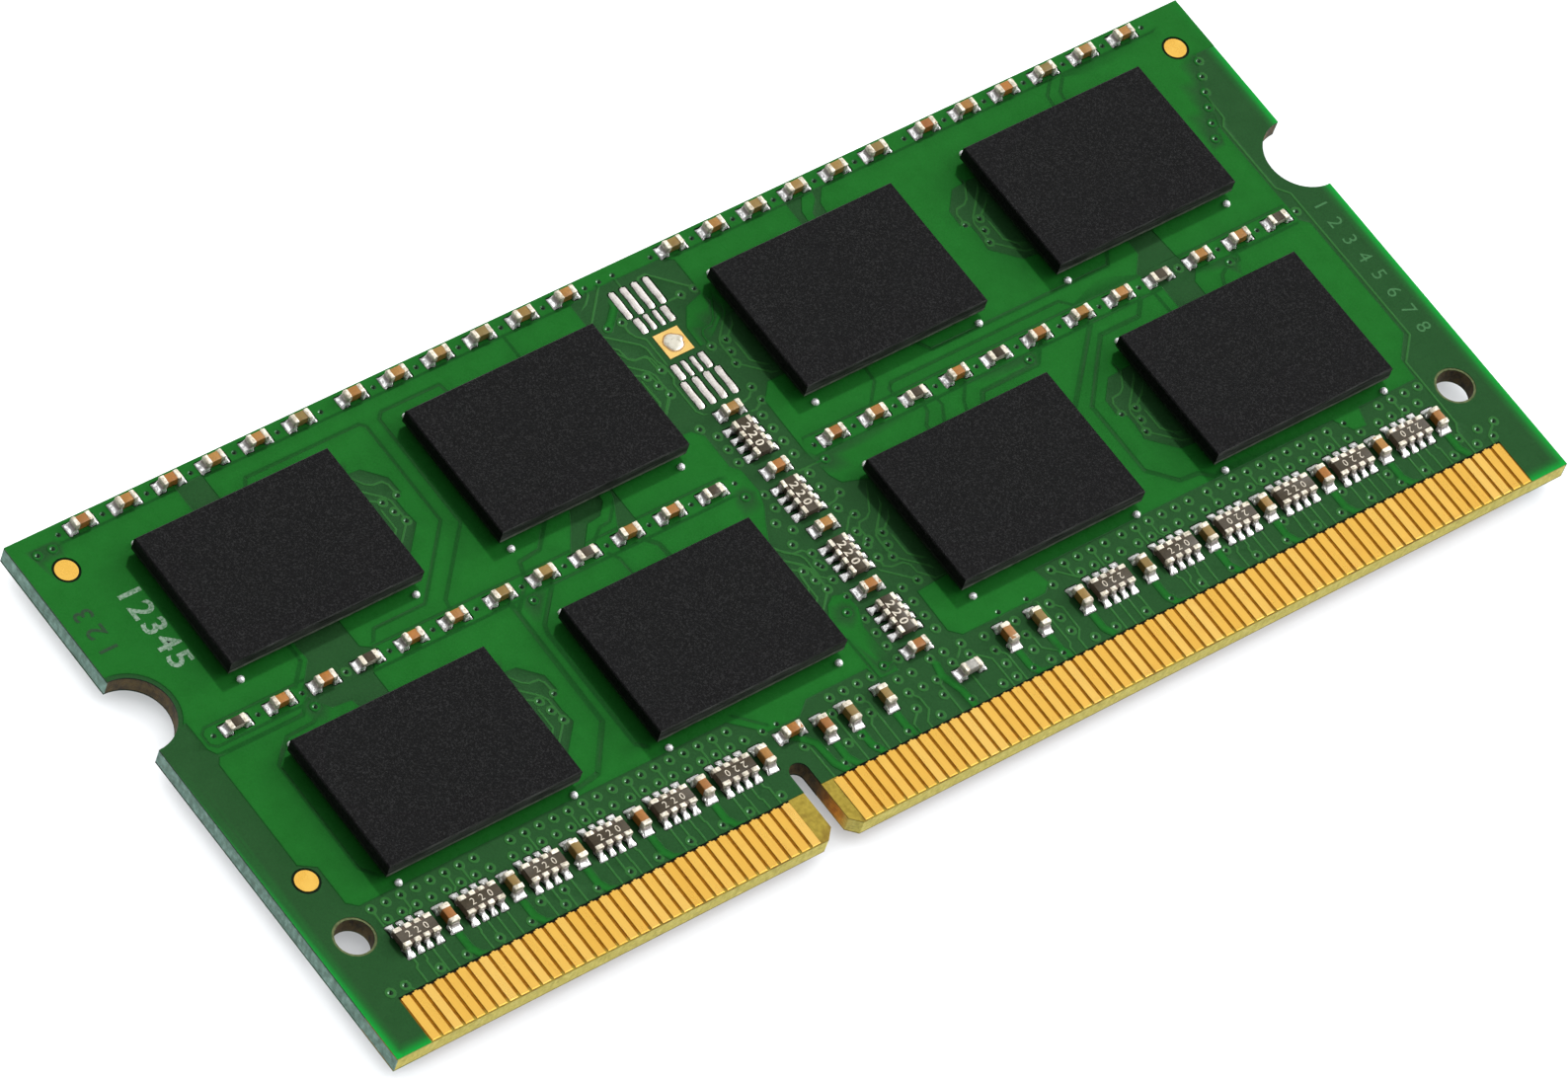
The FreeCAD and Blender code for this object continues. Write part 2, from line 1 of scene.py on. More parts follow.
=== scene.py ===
import math

import bmesh
import bpy
import numpy as np
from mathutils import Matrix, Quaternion, Vector
from mathutils.geometry import delaunay_2d_cdt


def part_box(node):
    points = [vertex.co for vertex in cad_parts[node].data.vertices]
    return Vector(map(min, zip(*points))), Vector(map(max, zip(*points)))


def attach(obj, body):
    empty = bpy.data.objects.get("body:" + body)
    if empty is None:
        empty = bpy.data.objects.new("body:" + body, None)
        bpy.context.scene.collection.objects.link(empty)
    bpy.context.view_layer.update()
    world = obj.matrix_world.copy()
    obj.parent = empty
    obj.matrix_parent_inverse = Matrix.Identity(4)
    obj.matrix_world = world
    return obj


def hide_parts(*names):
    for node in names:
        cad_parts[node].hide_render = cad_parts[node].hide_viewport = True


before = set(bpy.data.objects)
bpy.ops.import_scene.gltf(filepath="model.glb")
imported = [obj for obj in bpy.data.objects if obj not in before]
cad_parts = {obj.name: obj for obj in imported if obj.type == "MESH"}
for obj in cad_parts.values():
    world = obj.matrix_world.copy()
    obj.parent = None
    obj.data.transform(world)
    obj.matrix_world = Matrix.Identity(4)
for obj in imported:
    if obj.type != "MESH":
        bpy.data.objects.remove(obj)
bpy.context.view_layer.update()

# The looks of a memory module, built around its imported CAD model.
# Sizes below are in millimetres. "Board" coordinates are x along the module, y from the contact
# edge, and z outwards from the board's own face, so one description serves both faces.

MM = 0.001
FACES = ("front", "back")
BOARD_LOW, BOARD_HIGH = (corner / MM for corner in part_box("laminate_core"))
SURFACE_Z = {"front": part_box("solder_mask_front")[1].z / MM, "back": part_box("solder_mask_back")[0].z / MM}
OUTWARDS = {"front": 1, "back": -1}
MIDDLE_Z = sum(SURFACE_Z.values()) / 2
HALF_LENGTH = BOARD_HIGH.x
BOARD_HEIGHT = BOARD_HIGH.y - BOARD_LOW.y

OUTER_LAYER = 0.035          # depth of the solder mask, contacts and lands
COPPER_Z = 0.004             # mask surface over copper
BARE_Z = -0.013              # mask surface where the copper is etched away
SLOPE = 0.035                # width of the step between the two
RIM_WIDTH = 0.5              # the inner planes stop this far inside the outline
PLANE_EDGE_BLUR = 0.14       # half the width over which their edge shows

NOTCH_Y, NOTCH_RADIUS = 20.0, 2.0
HOLE_X, HOLE_Y, HOLE_RADIUS = 31.8, 6.0, 0.9
KEY_X, KEY_WIDTH, KEY_DEPTH, KEY_LEAD_IN = -9.0, 1.0, 4.0, 0.5
MASK_EDGE_Y = 2.54           # the mask ends here, just above the contacts
BARE_LOW_X, BARE_HIGH_X = -31.95, 31.65
LAND_GAP = 0.03              # bare ring round each land
WINDOW_CORNER = 0.07         # cut off the corners of the mask's openings
HOLE_PULLBACK = 0.11         # the mask stops this far from an alignment hole
FIDUCIAL_GAP = 0.12
FIDUCIALS_PER_FACE = 3       # in the same places on both faces
CONTACT_PITCH = 0.6
CONTACT_GROUPS = ((-31.65, 36), (-7.65, 66))     # first contact and count on either side of the key

# Faces that meet at less than this many degrees are shaded as one smooth surface.
CHIP_SHARP, SHEET_SHARP, CONTACT_SHARP, FIGURE_SHARP, SOLDER_SHARP = 40, 20, 15, 30, 60

rng = np.random.default_rng(204)


# ---- gathering meshes ---------------------------------------------------------------------

SAME_POINT = 1e-7            # metres


class Gathered:
    """Points and faces of many small shapes, gathered into one piece."""

    def __init__(self):
        self.points, self.faces, self.tones, self.count = [], [], [], 0

    def add(self, points, faces, tone=0.0):
        points = np.asarray(points, float)
        self.points.append(points)
        self.tones.append(np.full(len(points), tone))
        self.faces += [tuple(i + self.count for i in face) for face in faces]
        self.count += len(points)


def to_frame(points, face):
    """Board coordinates in millimetres, as points of the shared frame in metres."""
    x, y, z = points.T
    return np.stack([x, y + BOARD_LOW.y, SURFACE_Z[face] + OUTWARDS[face] * z], 1) * MM


def on_board(points):
    """The face that some points of the shared frame, in millimetres, are nearer to, and their box there."""
    face = "front" if points[:, 2].mean() > MIDDLE_Z else "back"
    points = points.copy()
    points[:, 1] -= BOARD_LOW.y
    points[:, 2] = (points[:, 2] - SURFACE_Z[face]) * OUTWARDS[face]
    return face, points.min(0), points.max(0)


def finish_piece(name, mesh, material, stands_for, sharp_angle):
    """Shades a mesh, and adds it to the scene as a piece of the module."""
    mesh.materials.append(material)
    mesh.polygons.foreach_set("use_smooth", [True] * len(mesh.polygons))
    mesh.set_sharp_from_angle(angle=math.radians(sharp_angle))
    piece = bpy.data.objects.new(name, mesh)
    bpy.context.scene.collection.objects.link(piece)
    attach(piece, "root")
    if stands_for:
        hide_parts(*stands_for)


def make_piece(name, gathered, material, stands_for=(), sharp_angle=CHIP_SHARP):
    """One piece from shapes gathered for one or both faces: {face: Gathered}."""
    points, faces, tones, count = [], [], [], 0
    for face, shapes in gathered.items():
        if not shapes.points:
            continue
        here = np.concatenate(shapes.points)
        points.append(to_frame(here, face))
        tones.append(np.concatenate(shapes.tones))
        faces += [tuple(i + count for i in corners)[::OUTWARDS[face]] for corners in shapes.faces]
        count += len(here)
    mesh = bpy.data.meshes.new(name)
    mesh.from_pydata(np.concatenate(points).tolist(), [], faces)
    mesh.attributes.new("tone", "FLOAT", "POINT").data.foreach_set("value", np.concatenate(tones))
    finish_piece(name, mesh, material, stands_for, sharp_angle)


def both_faces():
    return {face: Gathered() for face in FACES}


def solids(*nodes):
    """(face, low, high) in board coordinates for each separate solid of some CAD nodes."""
    found = []
    for node in nodes:
        shape = bmesh.new()
        shape.from_mesh(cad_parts[node].data)
        bmesh.ops.remove_doubles(shape, verts=shape.verts, dist=SAME_POINT)
        seen = set()
        for start in shape.verts:
            if start in seen:
                continue
            seen.add(start)
            island, waiting = [], [start]
            while waiting:
                vertex = waiting.pop()
                island.append(vertex.co / MM)
                for edge in vertex.link_edges:
                    other = edge.other_vert(vertex)
                    if other not in seen:
                        seen.add(other)
                        waiting.append(other)
            found.append(on_board(np.array(island)))
        shape.free()
    return found


def rounded_block(low, high, rounding, wobble):
    """A block with rounded edges; wobble moves its points a little, as fired or dipped parts are."""
    size = high - low
    block = bmesh.new()
    bmesh.ops.create_cube(block, size=1)
    bmesh.ops.scale(block, vec=size, verts=block.verts)
    bmesh.ops.bevel(block, geom=block.edges[:], offset=rounding, segments=3, profile=0.5, affect="EDGES")
    points = np.array([v.co for v in block.verts])
    faces = [tuple(v.index for v in f.verts) for f in block.faces]
    block.free()
    points += rng.normal(0, 1, points.shape) * wobble
    return points + (low + high) / 2, faces


def unit_grid(rows, columns):
    """Rows and columns of a square of points from -1 to 1 each way."""
    return np.meshgrid(np.linspace(-1, 1, rows), np.linspace(-1, 1, columns), indexing="ij")


def grid_shape(x, y, z):
    """Points and quads of a grid, row by row."""
    rows, columns = x.shape
    faces = [(r * columns + c, r * columns + c + 1, (r + 1) * columns + c + 1, (r + 1) * columns + c)
             for r in range(rows - 1) for c in range(columns - 1)]
    return np.stack([x.ravel(), y.ravel(), z.ravel()], 1), faces


def ring_faces(rings, count):
    """Quads between rings of points stored one ring after another."""
    pairs = [(r * count + i, r * count + (i + 1) % count) for r in range(rings - 1) for i in range(count)]
    return [(a, a + count, b + count, b) for a, b in pairs]


def flipped(faces):
    return [corners[::-1] for corners in faces]


def circle(x, y, radius, count, start=0.0, sweep=2 * math.pi):
    angles = [start + sweep * i / count for i in range(count)]
    return [(x + radius * math.cos(angle), y + radius * math.sin(angle)) for angle in angles]


def smooth_step(value, low, high):
    share = np.clip((value - low) / (high - low), 0, 1)
    return share * share * (3 - 2 * share)


# ---- the copper under the solder mask -----------------------------------------------------
# Copper covers each face except in the bare zones and along the gaps. Traces, strips and via
# pads are copper again, each with a clear ring or lane round it where it crosses a copper area.

LOWER_ZONE = [
    (-34.5, 18.6), (-31.95, 18.6), (-31.9, 17.0), (-31.6, 16.5), (-31.9, 16.1), (-31.9, 10.2), (-31.15, 9.7),
    (-31.15, 7.6), (-30.7, 7.2), (-10.4, 7.2), (-9.0, 5.9), (-7.2, 5.9), (-6.4, 6.5), (-2.9, 6.5),
    (-2.75, 5.75), (-1.65, 5.75), (-1.65, 8.4), (-1.25, 9.3), (-1.3, 10.2), (-1.9, 10.4), (-2.4, 10.1),
    (-2.8, 9.5), (-4.2, 9.3), (-4.2, 14.1), (-2.75, 14.1), (-2.2, 15.1), (-1.75, 15.8), (-1.45, 16.6),
    (-1.5, 17.9), (-1.85, 18.3), (-1.85, 20.2), (-2.3, 20.7), (-4.2, 20.8), (-4.2, 27.4), (-3.1, 27.7),
    (-3.1, 28.95), (-2.2, 29.2), (2.2, 29.2), (2.85, 28.85), (2.85, 26.75), (1.75, 26.45), (1.05, 25.5),
    (1.0, 24.35), (1.5, 24.35), (2.2, 24.8), (2.75, 25.2), (4.2, 25.3), (4.2, 21.3), (2.6, 21.3),
    (1.85, 20.5), (1.8, 17.4), (2.0, 15.8), (2.3, 15.2), (4.2, 14.6), (4.2, 8.9), (1.75, 8.75), (1.7, 6.4),
    (2.2, 5.9), (7.0, 5.9), (7.5, 6.3), (7.3, 7.2), (25.2, 7.2), (25.8, 6.3), (26.5, 6.2), (26.8, 7.2),
    (30.3, 7.2), (30.4, 8.4), (31.45, 9.5), (31.45, 16.6), (31.05, 17.0), (31.0, 22.9), (31.5, 24.4),
    (32.0, 25.8), (32.7, 27.0), (34.5, 27.0), (34.5, -1.0), (-34.5, -1.0)]
BARE_ZONES = [
    LOWER_ZONE,
    [(-25.3, 20.4), (-25.2, 18.8), (-26.3, 17.6), (-26.3, 17.0), (-25.7, 16.2), (-24.7, 16.1), (-24.5, 15.3),
     (-22.95, 15.3), (-22.95, 16.9), (-22.0, 17.8), (-22.7, 18.3), (-22.75, 20.4)],
    [(22.85, 20.4), (22.8, 19.0), (22.0, 18.1), (22.65, 17.0), (22.65, 15.3), (24.3, 15.3), (24.3, 16.5),
     (24.75, 17.0), (24.4, 18.1), (24.25, 20.4)],
    [(-25.15, 29.15), (-23.65, 29.15), (-23.65, 27.4), (-25.15, 27.4)],
    [(9.45, 29.0), (10.4, 29.0), (9.9, 28.3), (9.8, 27.4), (9.45, 27.4)],
    [(11.6, 29.0), (11.0, 28.3), (10.9, 27.4), (10.25, 27.4), (10.3, 28.0), (10.9, 28.6), (11.0, 29.0)],
    [(-11.3, 17.8), (-10.5, 17.8), (-9.6, 18.8), (-8.8, 18.9), (-8.2, 19.5), (-8.2, 20.4), (-9.6, 20.4),
     (-10.2, 19.3)],
    [(-8.6, 17.8), (-7.45, 17.8), (-7.45, 20.4), (-7.7, 19.4)]]

# Each gap is (width, points).
GAPS = [
    (0.20, [(-31.7, 16.5), (-27.1, 16.5), (-26.3, 17.2)]),
    (0.18, [(-25.5, 20.4), (-25.5, 18.9), (-26.5, 17.9)]),
    (0.16, [(-28.9, 15.4), (-28.4, 15.9), (-26.9, 15.95), (-26.4, 16.3)]),
    (0.16, [(-22.4, 27.5), (-22.0, 28.1), (-15.7, 28.1), (-15.45, 27.85), (-15.45, 22.1), (-18.75, 18.75),
     (-21.6, 18.75), (-22.0, 18.2)]),
    (0.16, [(-11.0, 27.5), (-11.1, 28.2), (-14.4, 28.2), (-14.7, 27.9), (-14.7, 21.6), (-17.8, 18.5),
     (-17.9, 18.0)]),
    (0.26, [(-15.3, 17.0), (-15.35, 9.9), (-17.2, 7.75), (-18.8, 7.5)]),
    (0.20, [(-15.25, 16.4), (-13.9, 17.7), (-13.6, 18.6), (-12.4, 18.7), (-11.2, 19.9)]),
    (0.20, [(-12.9, 17.0), (-14.6, 15.3), (-14.75, 14.8), (-14.75, 8.2), (-14.3, 7.8)]),
    (0.14, [(-9.9, 17.9), (-9.2, 18.4), (-8.6, 18.45), (-7.5, 19.5)]),
    (0.14, [(-9.7, 17.1), (-9.4, 16.6), (-9.35, 15.4)]), (0.24, [(-7.9, 17.1), (-7.3, 16.4), (-7.25, 15.4)]),
    (0.14, [(6.1, 18.0), (7.1, 19.0), (7.2, 20.4)]),
    (0.15, [(7.45, 17.9), (7.45, 18.35), (7.75, 18.6), (17.7, 18.6), (18.2, 18.1)]),
    (0.18, [(10.2, 19.9), (10.6, 19.2), (21.1, 19.15), (21.6, 19.9)]),
    (0.16, [(8.4, 17.0), (8.3, 16.5), (7.75, 15.9), (7.7, 15.4)]),
    (0.14, [(9.1, 17.0), (9.15, 16.5), (8.6, 15.6)]), (0.14, [(10.9, 17.0), (10.2, 16.2), (9.9, 15.5)]),
    (0.22, [(15.5, 17.2), (14.6, 16.2), (11.3, 16.2), (10.8, 15.5)]), (0.24, [(18.4, 17.0), (14.6, 13.4)]),
    (0.22, [(21.4, 17.0), (20.6, 16.15), (18.3, 16.15), (15.4, 13.1), (15.4, 9.1), (16.55, 7.9), (17.6, 7.8),
     (18.2, 7.3)]),
    (0.16, [(22.1, 17.0), (22.15, 15.4)]),
    (0.16, [(25.3, 15.4), (25.7, 16.2), (26.1, 16.4), (27.0, 16.5), (27.1, 17.0)]),
    (0.14, [(-6.9, 29.1), (-6.9, 27.5)]), (0.14, [(25.3, 29.0), (24.6, 28.3), (24.5, 27.5)]),
    (0.14, [(26.0, 28.9), (25.3, 28.2), (25.2, 27.5)]), (0.14, [(-2.75, 8.2), (-2.72, 5.8)]),
    (0.14, [(-9.95, 7.35), (-8.8, 6.2)]), (0.16, [(-28.9, 15.5), (-29.6, 14.8), (-29.6, 8.8), (-29.2, 8.3)]),
    # outlines of the bus bars that the chip rows stand on
    (0.12, [(-2.7, 18.0), (-31.4, 18.0), (-31.7, 17.75), (-31.7, 17.15), (-31.4, 16.9), (-2.7, 16.9)]),
    (0.12, [(2.1, 18.0), (30.9, 18.0)]), (0.12, [(2.1, 16.9), (30.9, 16.9)]),
    (0.10, [(-31.3, 29.02), (-3.2, 29.02)]), (0.10, [(3.0, 29.02), (31.6, 29.02)])]

TRACE_WIDTH = 0.07
TRACES = [
    [(-3.2, 27.3), (-1.5, 29.0), (-1.15, 29.35)], [(-1.9, 29.35), (-2.0, 29.05), (-2.4, 28.7)],
    [(-0.33, 29.4), (-0.35, 28.6)], [(0.35, 28.5), (0.7, 28.8), (1.1, 28.8), (2.65, 27.2)],
    [(1.9, 27.08), (0.95, 27.08)],
    [(-1.5, 27.0), (-1.55, 26.5), (-1.4, 26.15), (-1.05, 25.8), (-1.05, 24.3)],
    [(-3.4, 27.4), (-1.5, 25.7), (-1.35, 25.4), (-1.35, 24.6), (-1.2, 24.2), (-1.2, 23.5), (-1.4, 23.2),
     (-1.4, 21.5), (-1.2, 21.2)],
    [(-3.3, 26.7), (-2.55, 25.9), (-2.5, 25.3), (-2.3, 25.1), (-1.85, 25.1), (-1.62, 24.9), (-1.58, 24.2)],
    [(-3.4, 25.6), (-2.12, 24.35), (-2.05, 23.6)], [(-1.95, 22.85), (-3.3, 21.5)],
    [(1.75, 20.6), (1.2, 20.3), (0.95, 20.3)], [(1.75, 21.4), (1.3, 21.0), (0.8, 20.9)],
    [(2.4, 16.6), (1.9, 16.62), (0.9, 16.62)], [(1.75, 13.5), (1.4, 13.5), (0.85, 12.95)],
    [(1.85, 14.8), (1.4, 14.55), (0.95, 14.5)],
    [(1.25, 11.1), (1.2, 10.6), (1.5, 10.4), (2.1, 10.35), (2.35, 10.1), (2.4, 9.6), (3.0, 8.95)],
    [(0.9, 10.5), (2.1, 9.35)], [(2.1, 12.3), (3.2, 13.4)], [(1.9, 12.1), (1.85, 11.2), (2.1, 10.9)],
    [(-3.0, 13.9), (-1.9, 12.85), (-1.8, 12.6), (-1.8, 11.5), (-1.5, 11.25)],
    [(-3.2, 13.4), (-2.1, 12.4), (-2.0, 12.1), (-2.0, 11.6)], [(-1.9, 10.75), (-3.2, 9.6)],
    [(-2.55, 12.0), (-2.6, 11.3), (-3.2, 10.6)],
    [(31.6, 24.95), (31.55, 23.4), (31.2, 23.0), (31.2, 19.0), (31.68, 18.4), (31.68, 9.3), (30.5, 8.15),
     (30.45, 4.3), (30.2, 3.9), (30.2, 2.5)],
    [(-7.8, 4.3), (-7.75, 2.5)], [(-5.8, 5.2), (-5.8, 2.5)], [(-4.2, 4.4), (-4.55, 4.0), (-4.6, 2.5)],
    [(-4.2, 5.3), (-3.95, 5.0), (-3.95, 2.5)], [(-2.2, 3.6), (-2.8, 3.1), (-2.8, 2.5)],
    [(-2.0, 4.5), (-1.7, 4.1), (-1.7, 3.4), (-2.15, 2.9), (-2.15, 2.5)], [(-0.4, 4.5), (-0.4, 2.5)],
    [(0.8, 4.8), (1.2, 4.3), (1.2, 2.5)], [(1.8, 5.55), (1.3, 5.1)],
    [(1.8, 4.9), (2.2, 4.6), (2.6, 4.2), (2.6, 2.5)], [(3.0, 4.5), (3.35, 4.1), (3.35, 2.5)],
    [(4.8, 4.5), (5.0, 4.2), (5.0, 3.6), (5.6, 3.1), (5.6, 2.5)],
    [(6.35, 5.7), (6.35, 3.2), (6.2, 3.0), (6.2, 2.5)],
    [(6.8, 5.35), (7.25, 4.9), (7.2, 3.6), (6.85, 3.2), (6.85, 2.5)],
    [(32.15, 3.55), (31.4, 3.0), (31.35, 2.5)], [(-31.25, 2.9), (-31.05, 2.5)], [(-2.1, 6.25), (-1.3, 6.25)],
    [(8.0, 6.8), (9.1, 5.7)], [(-2.65, 24.0), (-2.65, 22.6), (-3.2, 22.0)]]
STRIP_WIDTH = 0.38
STRIPS = [
    [(-2.3, 27.1), (-1.95, 27.35), (-1.3, 27.95)], [(-7.95, 5.0), (-7.4, 4.4), (-7.3, 3.1), (-6.95, 2.5)],
    [(0.1, 5.2), (-0.05, 4.6), (0.3, 3.5), (0.35, 2.5)]]

VIA_PITCH = 0.8
VIA_RUNS = [                 # (first x, last x, y) of the close rows above the connector parts
    (-30.35, -24.75, 6.8), (-22.75, -17.95, 6.8), (-15.5, -10.7, 6.8), (8.0, 11.2, 6.8), (17.3, 23.7, 6.8),
    (27.7, 30.1, 6.8), (12.2, 16.2, 6.8), (-30.0, -24.4, 6.05), (-23.15, -17.55, 6.05),
    (-16.65, -10.25, 6.05), (-5.4, -3.0, 6.05), (10.0, 11.6, 6.05), (12.6, 17.4, 6.05), (18.5, 24.1, 6.05),
    (25.2, 26.0, 6.05), (27.1, 29.5, 6.05)]
VIA_PLACES = [
    (-17.1, 6.8), (-16.25, 6.8), (24.55, 6.8), (25.6, 6.8), (-9.2, 6.05), (-8.4, 6.05), (4.4, 6.1),
    (6.0, 6.05), (7.6, 6.1), (9.2, 6.05), (-23.45, 3.55), (-22.15, 3.55), (-6.1, 3.7), (-5.3, 3.7),
    (-2.2, 3.7), (-0.6, 3.7), (3.0, 3.7), (4.6, 3.7), (6.8, 3.7), (16.05, 3.8), (19.5, 3.8), (23.05, 3.8),
    (25.65, 3.55), (30.0, 3.55), (31.15, 3.55), (32.15, 3.55), (-8.0, 4.5), (-5.8, 5.3), (-4.2, 4.5),
    (-4.2, 5.35), (-2.0, 4.55), (-1.2, 4.5), (-0.4, 4.5), (-2.0, 5.35), (-1.2, 5.35), (0.0, 5.55),
    (0.8, 5.55), (1.8, 5.55), (0.8, 4.9), (1.8, 4.9), (3.0, 5.35), (3.0, 4.5), (4.8, 5.35), (4.8, 4.5),
    (6.8, 5.35), (6.8, 4.5), (-1.3, 6.25), (-1.35, 19.9), (-1.35, 19.1), (-1.35, 18.3), (-1.35, 16.3),
    (-1.35, 15.5), (-1.35, 14.15), (-1.35, 12.7), (-1.35, 11.9), (-1.35, 11.1), (-1.35, 10.05), (-1.35, 8.7),
    (-1.35, 7.85), (-1.35, 7.05), (1.25, 19.9), (1.25, 19.1), (1.25, 18.3), (1.25, 17.5), (1.25, 16.3),
    (1.25, 15.45), (1.25, 14.15), (1.25, 12.7), (1.25, 11.9), (1.25, 11.1), (1.25, 9.25), (1.25, 8.4),
    (1.25, 7.55), (1.25, 6.75), (-1.85, 14.8), (1.85, 14.8), (-1.85, 13.5), (1.75, 13.5), (-1.85, 20.6),
    (1.75, 20.6), (1.75, 21.4), (-2.3, 27.1), (-1.5, 27.1), (1.9, 27.1), (2.7, 27.1), (2.15, 9.25)]
EDGE_VIA_XS = [
    -32.1, -31.3, -29.4, -27.95, -26.15, -24.4, -22.55, -20.75, -18.95, -17.4, -15.6, -13.8, -12.3, -10.5,
    -6.85, -5.05, -3.25, -1.4, 0.4, 2.2, 3.0, 4.0, 5.0, 5.75, 7.6, 8.8, 10.6, 12.1, 13.9, 15.7, 17.2, 19.0,
    20.8, 22.3, 24.1, 25.95, 27.4, 29.2, 30.6, 31.6]
EDGE_VIA_Y = 2.9
RINGED_VIAS = [(-32.7, 28.95), (-31.9, 28.95), (-26.35, 16.6), (-14.25, 16.6), (-2.2, 16.6), (2.4, 16.6),
               (14.4, 16.6), (26.5, 16.6), (-1.85, 9.35), (-2.1, 6.25)]
RINGED_VIAS += [(32.55 - 0.43 * i, 26.6 - 0.8 * i) for i in range(6)]     # a slanting run
CHIP_ROWS = ((29.45, 3.1, 4, 0.55), (17.45, 3.5, 4, 0.15))   # y, first x, last place before a step, step
ROW_PITCH = 2.4
ROW_COUNT = 12
TOP_CENTRE_XS = (-1.9, -1.1, -0.3, 1.9)
VIA_PAD = 0.25
VIA_HOLE = 0.15
VIA_DEPTH = 0.060
RING_CLEAR = 0.17
TRACE_CLEAR = 0.11
VIA_REACH = 0.6              # vias have no effect further off than this

PACKAGES = 8                 # on each face
CENTRE_HALF = 5.0            # half the width of the centre column, where the fans share one bare zone
FAN_VIAS = ((1.1, 0.65), (1.95, 0.65), (1.3, 0.0), (1.5, -0.65))   # from a package's edge and middle
FAN_ZONE = [(-1.2, 2.65), (0.65, 2.65), (1.25, 2.6), (2.15, 1.65), (2.2, 0.75), (1.75, 0.45), (1.75, -0.15),
            (1.85, -0.95), (1.25, -1.55), (0.65, -2.15), (-1.2, -2.3)]
FAN_TRACES = [[(0.4, 2.7), (0.95, 1.85), (1.25, 1.65), (1.75, 1.6), (1.92, 1.35), (1.95, 0.65)],
              [(0.2, 1.95), (1.35, 0.85), (1.5, 0.55), (1.5, -0.5)], [(1.5, -0.65), (0.3, -1.8)],
              [(0.8, 0.3), (0.8, -0.8), (0.3, -1.3)], [(1.1, 0.65), (0.3, 1.2)]]


def fan_outs():
    """The vias, bare zone and traces beside each package: to its right on the left half, and mirrored."""
    vias, zones, traces = [], [], []
    for number in range(1, PACKAGES + 1):
        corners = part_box("memory_front_%d_mould_cap" % number)
        _, low, high = on_board(np.array([corner / MM for corner in corners]))
        side = 1 if low[0] < 0 else -1
        edge = high[0] if side > 0 else low[0]
        middle = (low[1] + high[1]) / 2

        def place(points):
            return [(edge + side * x, middle + y) for x, y in points]

        vias += place(FAN_VIAS)
        traces += [place(points) for points in FAN_TRACES]
        if abs(edge) > CENTRE_HALF:
            zones.append(place(FAN_ZONE))
    return vias, zones, traces


def row_vias():
    """The vias between the chips of the two long rows, and the close rows above the connector parts."""
    vias = []
    for y, first, last_before, step in CHIP_ROWS:
        for side in (-1, 1):
            for i in range(ROW_COUNT):
                shift = step if i > last_before else 0.0
                vias.append((side * (first + ROW_PITCH * (i + 0.5) + shift), y))
    vias += [(x, 29.45) for x in TOP_CENTRE_XS] + [(-2.2, 17.45), (2.4, 17.45)]
    for first, last, y in VIA_RUNS:
        count = round((last - first) / VIA_PITCH) + 1
        vias += [(float(x), y) for x in np.linspace(first, last, count)]
    return vias + [(x, EDGE_VIA_Y) for x in EDGE_VIA_XS]


CONNECTOR_ROW_TOP = 6.0      # chips below this are in the connector row
NETWORK_PAD_XS = (-0.8, -0.25, 0.25, 0.8)
PAD_LOW, PAD_HIGH = 4.0, 5.5
TRACE_RISE = 0.15            # straight run up from a pad
VIA_ROW_YS = (6.8, 6.05)     # that the pads' upward traces end in, by turns
LANDING_HALF = 0.12          # a trace lands within this of a contact's centre line
STRIP_TOP, STRIP_TURN, STRIP_SHIFT = 4.1, 3.1, 0.25
TRACE_STOP = MASK_EDGE_Y + 0.02
STRIP_STOP = MASK_EDGE_Y + 0.1
KEY_CLEAR = 2.0              # no capacitor strips this near the key slot
NOTCH_CLEAR = 0.22


def connector_lines(vias):
    """Traces from the resistor networks down to the contacts and up to the vias, and capacitor strips."""
    contacts = np.array([first + CONTACT_PITCH * i for first, count in CONTACT_GROUPS for i in range(count)])
    traces, strips = [], []
    for _, low, high in solids("network_bodies_front"):
        if high[1] > CONNECTOR_ROW_TOP:
            continue
        for i, offset in enumerate(NETWORK_PAD_XS):
            x = (low + high)[0] / 2 + offset
            turn = rng.uniform(3.2, 3.7)
            contact_x = contacts[np.argmin(np.abs(contacts - x))]
            end = float(np.clip(x, contact_x - LANDING_HALF, contact_x + LANDING_HALF))
            traces.append([(x, PAD_LOW), (x, turn), (end, turn - abs(end - x)), (end, TRACE_STOP)])
            row_y = VIA_ROW_YS[i % 2]
            up = min((via for via, y in vias if y == row_y), key=lambda via: abs(via - x))
            if abs(up - x) < VIA_PITCH / 2:
                bend = PAD_HIGH + TRACE_RISE
                traces.append([(x, PAD_HIGH), (x, bend), (up, bend + abs(up - x)), (up, row_y)])
    for _, low, high in solids("capacitor_bodies_connector_row"):
        x = (low + high)[0] / 2
        upright = high[1] - low[1] > high[0] - low[0]
        if upright and abs(x - KEY_X) > KEY_CLEAR:
            strips.append([(x, STRIP_TOP), (x, STRIP_TURN), (x + STRIP_SHIFT, STRIP_STOP)])
    return traces, strips


def notch_zone():
    """The bare strip round the left latch notch."""
    radius = NOTCH_RADIUS + NOTCH_CLEAR
    outside = -HALF_LENGTH - 1.0
    arc = circle(-HALF_LENGTH, NOTCH_Y, radius, 24, math.pi / 2, -math.pi)
    return arc + [(outside, NOTCH_Y - radius), (outside, NOTCH_Y + radius)]


def segments_of(points, closed=False):
    """The lines between successive points, each as its two ends."""
    ends = points[1:] + points[:1] if closed else points[1:]
    return [(np.array(a, float), np.array(b, float)) for a, b in zip(points, ends)]


